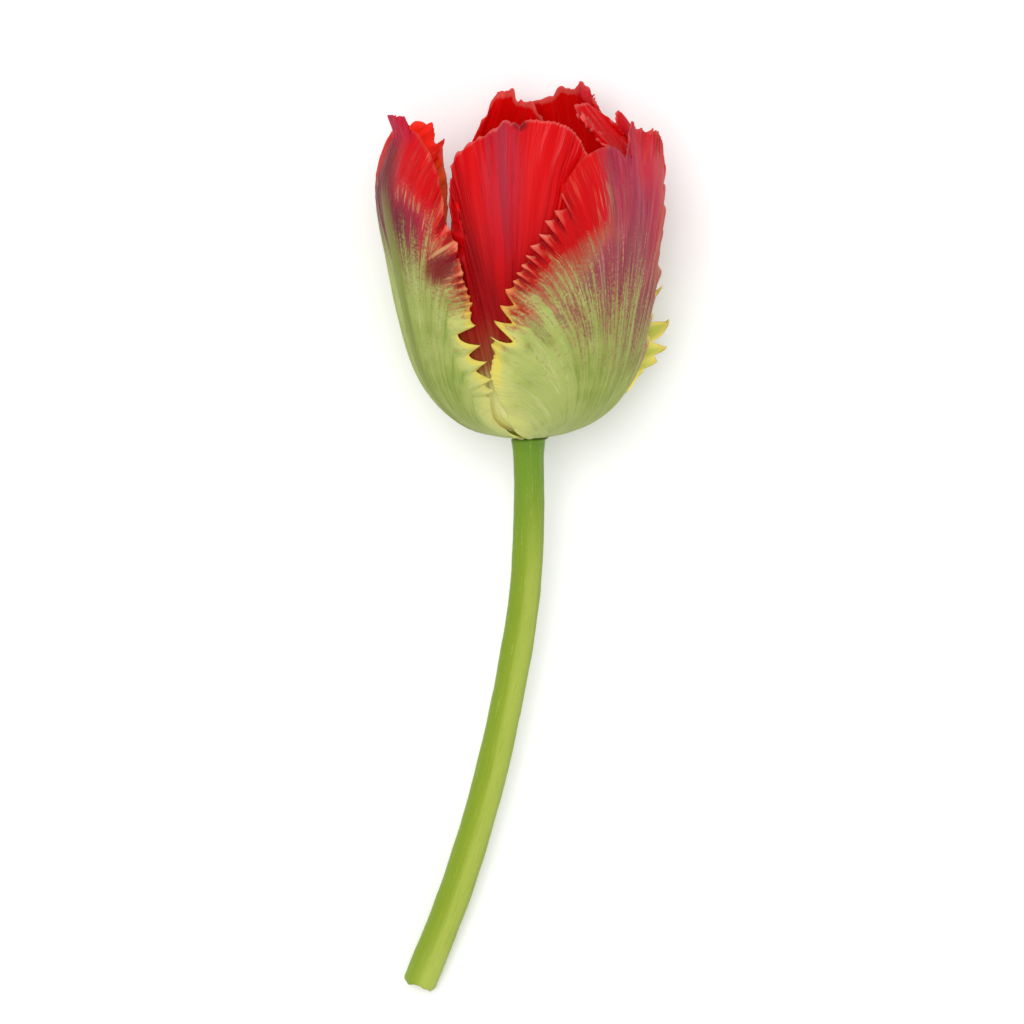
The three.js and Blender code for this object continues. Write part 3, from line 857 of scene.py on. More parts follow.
    def relief(self, vein: np.ndarray, along: np.ndarray, angle: np.ndarray, edge: np.ndarray,
               ridge: np.ndarray, depth: np.ndarray, reach: np.ndarray, room: np.ndarray) -> np.ndarray:
        """How far the sheet stands out from its plain form.

        Args:
            vein: place across the veins, -1 to 1.
            along: place along each vein.
            angle: degrees from the midrib.
            edge: distance from the margin.
            ridge: relief of the teeth at the margin.
            depth: 0 in the sheet's body to 1 at the margin.
            reach: how far each column reaches past the margin's line.
            room: 0 where the veins are crowded to 1 where they stand apart.

        Returns:
            Millimetres along the normal.
        """
        near = smooth(self.RUFFLE_REACH, 0, edge) * smooth(*self.RUFFLE_START, along)
        push = self.sided(vein, "ruffle") * near * room * waves(vein, self.seed, self.RUFFLES)
        near = smooth(self.CRIMP_REACH, 0, edge)
        push = push + self.CRIMP_HEIGHT * near * room * waves(vein, self.seed + 3, self.CRIMPS)
        near = smooth(self.COMB_REACH, 0, edge)
        push = push + self.whorl.comb * ridge * near * smooth(*self.COMB_START, along)
        push = push + self.sided(vein, "flick") * np.maximum(reach, 0) * depth ** 2
        rib = self.RIB_HEIGHT * np.exp(-((angle / self.RIB_WIDTH) ** 2))
        push = push + rib * smooth(*self.RIB_START, along) * smooth(0, self.RIB_END, edge)
        veins = self.VEIN_HEIGHT * waves(vein + self.VEIN_DRIFT * along, self.seed + 3, self.VEINS)
        push = push + veins * smooth(*self.VEIN_START, along) * room
        tip = smooth(self.KNOB_REACH, 0, edge) * smooth(self.KNOB_WIDTH, 0.0, np.abs(vein))
        across, up, count = self.KNOB_CREASES
        push = push + self.knob * tip * waves(vein * across + along * up, self.seed + 5, count)
        if self.whorl is Whorl.INNER:
            free = smooth(*self.FREE, along)
            push = push * free - self.TUCK * (1 - free)
        return push

    @staticmethod
    def normals(grid: np.ndarray) -> np.ndarray:
        """The outward normals of a grid of points, by column and row."""
        normal = np.cross(np.gradient(grid, axis=0), np.gradient(grid, axis=1))
        return normal / np.maximum(np.linalg.norm(normal, axis=-1, keepdims=True), 1e-9)

    @staticmethod
    def skin(outer: np.ndarray, inner: np.ndarray, stored: dict[str, np.ndarray]) -> Shape:
        """Joins the two faces round the rim.

        Args:
            outer: the outer face's points by column and row, which take material 0, as the rim does.
            inner: the inner face's, which take material 1.
            stored: what the mesh keeps at each point, by column and row.

        Returns:
            The closed shape.
        """
        wide, high = outer.shape[:2]
        half = wide * high
        faces, slots = [], []
        for i in range(wide - 1):
            for j in range(high - 1):
                a, b = i * high + j, (i + 1) * high + j
                faces.append((a, b, b + 1, a + 1))
                faces.append((a + half, a + 1 + half, b + 1 + half, b + half))
                slots += [0, 1]
        rim = [i * high for i in range(wide - 1)]
        rim += [(wide - 1) * high + j for j in range(high - 1)]
        rim += [i * high + high - 1 for i in range(wide - 1, 0, -1)]
        rim += list(range(high - 1, 0, -1))
        for a, b in zip(rim, rim[1:] + rim[:1]):
            faces.append((b, a, a + half, b + half))
            slots.append(0)
        kept = {key: np.tile(np.asarray(values).ravel(), 2) for key, values in stored.items()}
        return Shape(np.concatenate([outer.reshape(-1, 3), inner.reshape(-1, 3)]), faces, slots, kept)

    def build(self, lie: Lie) -> bpy.types.Object:
        """Makes the finished piece, laid down."""
        outside = OuterFace if self.whorl is Whorl.OUTER else InnerFace
        materials = [finish(self.name, self.look, self.seed).painted() for finish in (outside, Lining)]
        slot = f"{self.whorl.name.lower()}_tepal"
        return self.shape(lie).piece(f"petal_{self.name}", materials, slot, self.name)


# ---------------------------------------------------------------- tepal finishes


class PetalFinish:
    """What the finishes of a tepal share: where a point is and streaks along the veins, as wires.

    rise is the height as a share of the bloom's, turn the angle from the midrib in units of 60 degrees, along
    the share of a vein and edge the distance in from the margin in millimetres. barb runs from -1 in a notch
    to 1 along a tooth. broad, medium, fine and hair are ever finer streaks, mostly between -0.5 and 0.5. Each
    size has how many cross a tepal, how often one changes along it, and which pattern it is.
    """

    SIDE = "petal"
    ROUGHNESS = 0.5
    GLOSS = 0.15  # how far the roughness follows the fine streaks
    GLOW = 0.05
    RELIEF = 0.00022
    BROAD: Triple = (5, 1.2, 0)
    MEDIUM: Triple | None = None
    FINE: Triple = (60, 3, 0.6)
    HAIR: Triple = (170, 5, 0.9)
    WANDER: Pair | None = None  # waves to a metre, and how far all but the broad streaks stray sideways

    def __init__(self, name: str, look: Look, seed: int) -> None:
        """Starts the material, reads the mesh and draws the streaks.

        Args:
            name: the tepal's name.
            look: its colours.
            seed: its own patterns.
        """
        self.look = look
        self.paint = Paint(f"{self.SIDE}_{name}", self.ROUGHNESS, glow=self.GLOW)
        self.mix = self.paint.mix
        vein, self.rise, self.turn, self.along, self.edge, self.barb = (
            self.paint.read(key) for key in ("vein", "rise", "turn", "along", "edge", "barb"))

        def drawn(count: float, lengthwise: float, pattern: float) -> Wire:
            """The streaks of one size."""
            return self.paint.streaks(vein, self.along, count, lengthwise, seed + pattern)

        self.broad = drawn(*self.BROAD)
        if self.WANDER:
            scale, amount = self.WANDER
            vein = vein + self.paint.grain(scale) * amount
        if self.MEDIUM:
            self.medium = drawn(*self.MEDIUM)
        self.fine, self.hair = drawn(*self.FINE), drawn(*self.HAIR)

    def finished(self, colour: Wire, blots: tuple[Blot, ...], height: Wire,
                 lit: Wire | None = None) -> bpy.types.Material:
        """Feeds the surface.

        Args:
            colour: its colour.
            blots: soft patches that go over that.
            height: its relief.
            lit: how strongly it gives off a painted glow, standing in for light passing through it.

        Returns:
            The material.
        """
        for blot in blots:
            colour = blot.over(self, colour)
        self.paint.finish(colour, height, self.RELIEF, self.ROUGHNESS + self.fine * self.GLOSS, lit)
        return self.paint.material


class OuterFace(PetalFinish):
    """The outside of an outer tepal: green foot, streaked purple middle, red margins, yellow teeth."""

    SIDE = "outside"
    RELIEF = 0.0003
    MEDIUM = (20, 2.5, 0.3)
    FINE = (75, 6, 0.6)
    HAIR = (190, 9, 0.9)
    WANDER = (110, 0.01)
    SPECKLES, CLOUDS = 1500, 150  # to a metre

    LEAF = tone(174, 186, 102)
    LEAF_MIDDLE = tone(150, 166, 76)
    LEAF_VEIN = tone(118, 144, 56)
    LEAF_RUST = tone(150, 118, 78)
    LEAF_LIGHT = tone(200, 204, 136)
    LEAF_FOOT = tone(192, 200, 128)
    LEAF_RIM = tone(204, 204, 118)
    BLUSH_DARK = tone(116, 30, 56)
    BLUSH_SIDE = tone(200, 36, 60)
    BLUSH_TOP = tone(208, 38, 58)
    BLUSH_OLIVE = tone(142, 138, 98)
    RED = tone(200, 0, 6)
    RED_BRIGHT = tone(214, 6, 16)
    RED_LOW = tone(176, 4, 8)
    RED_VEIN = tone(140, 2, 12)
    RED_LIGHT = tone(230, 58, 60)
    FRAYED = tone(158, 112, 78)
    FRAYED_LIGHT = tone(196, 122, 88)
    FEATHER = tone(204, 176, 118)
    RIB_LOW = tone(132, 146, 66)
    RIB_HIGH = tone(126, 100, 66)
    RIB_LIGHT = tone(160, 146, 96)
    TIP_FOOT = tone(206, 204, 118)
    TIP_YELLOW = tone(222, 206, 92)
    TIP_ORANGE = tone(232, 146, 78)
    TIP_PINK = tone(240, 138, 112)
    # painted shade in the comb's notches and painted highlight on its ridges
    COMB_NOTCH_SHADE = tone(124, 4, 18)
    COMB_RIDGE_HIGHLIGHT = tone(242, 124, 104)

    def __init__(self, name: str, look: Look, seed: int) -> None:
        """Adds noise that is alike in all directions.

        Args:
            name: the tepal's name.
            look: its colours.
            seed: its own patterns.
        """
        super().__init__(name, look, seed)
        self.speckle, self.cloud = self.paint.grain(self.SPECKLES, 1), self.paint.grain(self.CLOUDS)

    def painted(self) -> bpy.types.Material:
        """The finished material.

        Returns:
            The material.
        """
        colour = self.mix(self.green(), self.blush(), self.blushed())
        colour = self.tipped(self.ribbed(self.reddened(colour)))
        height = self.fine * 0.45 + self.hair * 0.35 + self.medium * 0.3
        return self.finished(colour, self.look.blots, height + self.barb * 0.5 + self.speckle * 0.12)

    def green(self) -> Wire:
        """The foot's green: darker down the middle and along some veins, pale at the foot and the rim.

        Returns:
            The colour.
        """
        middle = (1 - self.turn.size().step(0.05, 0.75)) * 0.5
        leafy = (middle + self.broad * 0.8 + self.cloud * 0.7 + 0.2).step(0.0, 0.9)
        green = self.mix(self.LEAF, self.LEAF_MIDDLE, leafy)
        veined = (self.medium + self.fine * 0.6 + self.cloud * 0.5 - 0.05).step(0.0, 0.4)
        green = self.mix(green, self.LEAF_VEIN, veined * 0.6)
        rusty = (self.fine * 0.7 + self.speckle - self.medium * 0.3).step(0.16, 0.4)
        green = self.mix(green, self.LEAF_RUST, rusty * self.rise.step(0.12, 0.3) * 0.45)
        light = (self.hair * 0.7 + self.fine * 0.7 - self.medium).step(0.05, 0.45)
        green = self.mix(green, self.LEAF_LIGHT, light * 0.5)
        green = self.mix(green, self.LEAF_FOOT, (1 - self.rise.step(0.0, 0.16)) * 0.5)
        rim = (1 - (self.edge + self.cloud * 4).step(2, 10)) * self.along.step(0.3, 0.5)
        return self.mix(green, self.LEAF_RIM, rim * (1 - self.rise.step(0.4, 0.55)) * 0.8)

    def blush(self) -> Wire:
        """The purple middle: streaked dark, light and olive, redder towards the plus side and the top.

        Returns:
            The colour.
        """
        blush = self.mix(self.look.blush, self.look.rib, self.rise.step(0.5, 0.85))
        dark = (self.fine + self.hair * 0.6 + self.medium * 0.5).step(-0.05, 0.3)
        blush = self.mix(blush, self.BLUSH_DARK, dark * 0.6)
        light = (self.medium * 0.5 - self.fine - self.speckle * 0.3).step(0.03, 0.28)
        blush = self.mix(blush, self.look.pale, light * (0.5 - self.rise.step(0.55, 0.75) * 0.36))
        side = (self.turn + self.medium * 0.2).step(0.12, 0.5)
        side = side * (self.rise + self.broad * 0.2).step(0.38, 0.62)
        blush = self.mix(blush, self.BLUSH_SIDE, side * 0.8)
        top = (self.turn + self.fine * 0.1).step(0.0, 0.2) * (self.rise + self.fine * 0.06).step(0.7, 0.84)
        blush = self.mix(blush, self.BLUSH_TOP, top * 0.85)
        olive = (self.medium * 0.8 + self.fine * 0.6).step(0.0, 0.3) * (1 - self.rise.step(0.5, 0.7))
        return self.mix(blush, self.BLUSH_OLIVE, olive * (1 - self.turn.step(0.1, 0.4)) * 0.55)

    def blushed(self) -> Wire:
        """Where the blush has taken over from the green, along a ragged line.

        Returns:
            From 0 in the green to 1 in the blush.
        """
        look = self.look
        above = self.rise + self.turn * 0.12 + (self.turn - self.turn.size()) * look.green_climb
        frayed = self.medium * 0.34 + self.fine * 0.42 + self.hair * 0.36 + self.speckle * 0.26
        ragged = self.broad * 0.2 + frayed * look.fray
        started = above + above.step(look.green_top - 0.26, look.green_top + 0.14) * ragged
        return started.step(look.green_top - 0.12, look.green_top + look.green_fade)

    def redness(self) -> Wire:
        """Where it is red: in from the margins, further the higher up, but little along the midrib.

        Returns:
            From 0 to 1 in the red.
        """
        look = self.look
        minus, plus = look.red_sides
        side = self.turn.step(-0.05, 0.08)
        reach = (self.rise - look.red_from) * look.red_reach * (minus + side * (plus - minus))
        frayed = self.medium * 11 + self.fine * 14 + self.hair * 12 + self.speckle * 8
        redness = reach - self.edge + self.broad * 7 + frayed * look.fray
        redness = redness.step(-7 * look.fray, 7 * look.fray)
        flank = (self.turn + self.medium * 0.1 + self.hair * 0.08).step(0.42, 0.68)
        flank = flank * (self.rise + self.broad * 0.2).step(0.34, 0.6) * look.flank
        redness = redness + (1 - redness) * flank
        strayed = self.turn + self.broad * 0.08 + self.medium * 0.1 + self.fine * 0.1 + self.hair * 0.08
        rib = 1 - strayed.size().step(look.rib_width * 0.3, look.rib_width * 1.3)
        return redness * (1 - rib * self.rise.step(0.3, 0.5) * 0.9)

    def red(self) -> Wire:
        """The red itself: deeper low down, with dark and light veins.

        Returns:
            The colour.
        """
        red = self.mix(self.RED, self.RED_BRIGHT, (self.broad + self.fine).step(-0.3, 0.4))
        red = self.mix(self.RED_LOW, red, (self.rise + self.broad * 0.2).step(0.45, 0.68))
        red = self.mix(red, self.RED_VEIN, (self.medium + self.hair * 0.8).step(0.08, 0.5) * 0.55)
        light = (self.hair + self.fine * 0.6 - self.medium * 0.2).step(0.2, 0.5)
        return self.mix(red, self.RED_LIGHT, light * (0.7 * self.look.fray - 0.3))

    def reddened(self, colour: Wire) -> Wire:
        """Lays the red over a colour, with a frayed, feathered border.

        Args:
            colour: what is there already.

        Returns:
            The new colour.
        """
        redness = self.redness()
        border = redness * (1 - redness) * 4
        frayed = self.mix(self.FRAYED, self.FRAYED_LIGHT, self.speckle.step(-0.1, 0.2))
        colour = self.mix(colour, frayed, border * (0.6 - self.rise.step(0.55, 0.75) * 0.5))
        colour = self.mix(colour, self.red(), redness)
        stroke = (self.fine + self.hair * 0.8).step(0.02, 0.3) * (1 - self.rise.step(0.74, 0.92))
        feathered = border + redness * 0.25 * (1 - self.edge.step(2, 7))
        return self.mix(colour, self.FEATHER, stroke * self.look.feathers * feathered)

    def ribbed(self, colour: Wire) -> Wire:
        """Lays the midrib's green over a colour, up to where it ends.

        Args:
            colour: what is there already.

        Returns:
            The new colour.
        """
        look = self.look
        rib = 1 - self.turn.size().step(look.rib_width * 0.2, look.rib_width * 0.6)
        rib = rib * (1 - (self.rise + self.fine * 0.1).step(look.rib_green - 0.15, look.rib_green))
        green = self.mix(self.RIB_LOW, self.RIB_HIGH, self.rise.step(0.45, 0.85))
        green = self.mix(green, self.RIB_LIGHT, (self.hair + self.fine * 0.5).step(0.05, 0.4) * 0.4)
        return self.mix(colour, green, rib * (0.85 + self.medium))

    def tipped(self, colour: Wire) -> Wire:
        """Lays the teeth's tips over a colour, and paints shade into the comb's notches and highlights on its
        ridges along the red margin.

        Args:
            colour: what is there already.

        Returns:
            The new colour.
        """
        tip = self.mix(self.TIP_FOOT, self.TIP_YELLOW, self.rise.step(0.16, 0.26))
        tip = self.mix(tip, self.TIP_ORANGE, self.rise.step(0.38, 0.5))
        tip = self.mix(tip, self.TIP_PINK, self.rise.step(0.5, 0.65))
        width = (1 - self.rise.step(0.3, 0.6)) * 2.6 + 0.4
        tips = (width - self.edge + self.barb * 0.8 + self.fine * 2).step(-0.8, 1.2)
        tips = tips * (1 - self.rise.step(0.6, 0.8) * 0.75) * self.along.step(0.3, 0.5)
        colour = self.mix(colour, tip, tips * (self.rise.step(0.08, 0.26) * 0.75 + 0.15))
        # the comb along the red margin: painted shade in the notches between the barbs, painted highlight on
        # their ridges
        comb = (1 - self.edge.step(3, 9)) * self.rise.step(0.44, 0.54) * (1 - self.rise.step(0.7, 0.8))
        colour = self.mix(colour, self.COMB_NOTCH_SHADE, (0 - self.barb).step(0.1, 0.7) * comb * 0.6)
        return self.mix(colour, self.COMB_RIDGE_HIGHLIGHT, self.barb.step(0.3, 0.9) * comb * 0.4)


class InnerFace(PetalFinish):
    """The outside of an inner tepal: red with fine veins, a purple-grey midrib and a pale foot."""

    SIDE = "outside"
    ROUGHNESS = 0.45
    MEDIUM = (17, 1.4, 0.3)
    FINE = (62, 2.5, 0.6)
    WANDER = (70, 0.03)

    RED_LOW = tone(152, 2, 8)
    RED = tone(216, 2, 10)
    RED_LIGHT = tone(226, 28, 38)
    RED_VEIN = tone(132, 2, 10)
    CREASE_SHADE = tone(128, 2, 8)
    RIB = tone(160, 44, 66)
    LIT_VEIN = tone(240, 84, 86)
    FOOT = tone(232, 234, 166)
    FOOT_TOP = tone(160, 96, 62)
    LIP = tone(228, 104, 100)

    def painted(self) -> bpy.types.Material:
        """The finished material.

        Returns:
            The material.
        """
        crease = (self.medium + self.hair * 0.15).size()
        foot = self.mix(self.FOOT, self.FOOT_TOP, (self.rise + self.medium * 0.06).step(0.15, 0.28))
        above = self.rise + self.medium * 0.12 + self.fine * 0.05 + self.broad * 0.06
        colour = self.mix(foot, self.red(crease), above.step(0.18, 0.42))
        lip = (0.5 - self.edge + self.barb * 0.3 + self.hair).step(-0.4, 0.4)
        colour = self.mix(colour, self.LIP, lip * self.rise.step(0.5, 0.8) * 0.55)
        height = self.fine * 0.4 + self.hair * 0.3 + crease.step(0.0, 0.12) * 0.25 + self.barb * 0.4
        # the last value is a painted glow at the pale foot, lifting the shade deep in the bloom
        return self.finished(colour, self.look.blots, height, (1 - self.rise.step(0.12, 0.3)) * 0.12)

    def red(self, crease: Wire) -> Wire:
        """The red, darker low down and towards the minus side as painted shade, with its veins, painted shade
        along the creases, the midrib and the lit veins near the plus side's top.

        Args:
            crease: 0 along the creases between the medium streaks.

        Returns:
            The colour.
        """
        mix = self.mix
        # painted shade: the red is darker low down and towards the minus side
        red = mix(self.RED_LOW, self.RED, (self.rise + self.turn * 0.25 + self.broad * 0.6).step(0.34, 0.92))
        red = mix(red, self.RED_LIGHT, (self.hair + self.fine * 0.6).step(0.12, 0.5) * 0.4)
        red = mix(red, self.RED_VEIN, (self.fine - self.hair * 0.5 + self.medium * 0.7).step(0.1, 0.5) * 0.5)
        # painted shade along the creases
        red = mix(red, self.CREASE_SHADE, (1 - crease.step(0.0, 0.03)) * (0.25 + self.broad))
        rib = (1 - (self.turn + 0.02 + self.broad * 0.08).size().step(0.0, 0.2)) * self.rise.step(0.5, 0.86)
        red = mix(red, self.RIB, rib * (0.62 + self.fine * 0.9 + self.medium * 0.5))
        lit = (self.turn + self.fine * 0.1).step(0.2, 0.4) * self.rise.step(0.72, 0.9)
        lit = lit * (1 - self.edge.step(4, 14))
        return mix(red, self.LIT_VEIN, (self.hair * 0.6 + self.fine).step(0.0, 0.35) * lit * 0.6)


class Lining(PetalFinish):
    """The inside of a tepal: satin red over a yellow foot, an olive blotch, a yellow-green rim low down."""

    SIDE = "lining"
    ROUGHNESS = 0.4
    BROAD = (6, 1.0, 0.2)
    FINE = (60, 3, 0.8)
    LIT = 0.1  # a painted glow everywhere, standing in for light passing through

    RED_LOW = tone(186, 0, 2)
    RED = tone(216, 2, 4)
    RED_LIGHT = tone(222, 44, 38)
    FOOT = tone(222, 196, 90)
    BLOTCH = tone(112, 116, 30)
    RIM = tone(176, 186, 84)
    RIM_EDGE = tone(208, 204, 104)
    LIP_LOW = tone(222, 196, 100)
    LIP = tone(236, 104, 96)

    def painted(self) -> bpy.types.Material:
        """The finished material.

        Returns:
            The material.
        """
        red = self.mix(self.RED_LOW, self.RED, (self.rise + self.broad * 0.5).step(0.3, 0.9))
        red = self.mix(red, self.RED_LIGHT, (self.fine + self.hair * 0.6).step(0.1, 0.5) * 0.4)
        above = (self.along + self.broad * 0.12 + self.fine * 0.08).step(0.36, 0.46)
        colour = self.mix(self.FOOT, red, above)
        blotch = 1 - (self.along + self.broad * 0.1 + self.fine * 0.1).step(0.24, 0.34)
        colour = self.mix(colour, self.BLOTCH, blotch)
        rim = (1 - (self.edge + self.fine * 3).step(5, 11)) * (
            1 - (self.rise + self.broad * 0.1).step(0.42, 0.56)) * self.along.step(0.3, 0.5)
        colour = self.mix(colour, self.mix(self.RIM, self.RIM_EDGE, 1 - self.edge.step(0.5, 4)), rim)
        lip = (1.0 + self.rise.step(0.9, 1.0) - self.edge + self.barb * 0.4 + self.fine).step(-0.5, 0.6)
        lip_tone = self.mix(self.LIP_LOW, self.LIP, self.rise.step(0.45, 0.62))
        colour = self.mix(colour, lip_tone, lip * self.along.step(0.3, 0.5) * 0.6)
        height = self.fine * 0.6 + self.hair * 0.3 + self.broad * 0.6 + self.barb * 0.4
        # painted glow: some everywhere, more at the foot and along the low rim to lift their shade, and the
        # look's own amount near the top
        lit = self.LIT + (1 - self.rise.step(0.04, 0.2)) * 0.35 + rim * 0.5
        lit = lit + self.rise.step(0.7, 0.85) * (self.look.lining_lit - self.LIT)
        return self.finished(colour, self.look.lining_blots, height, lit)


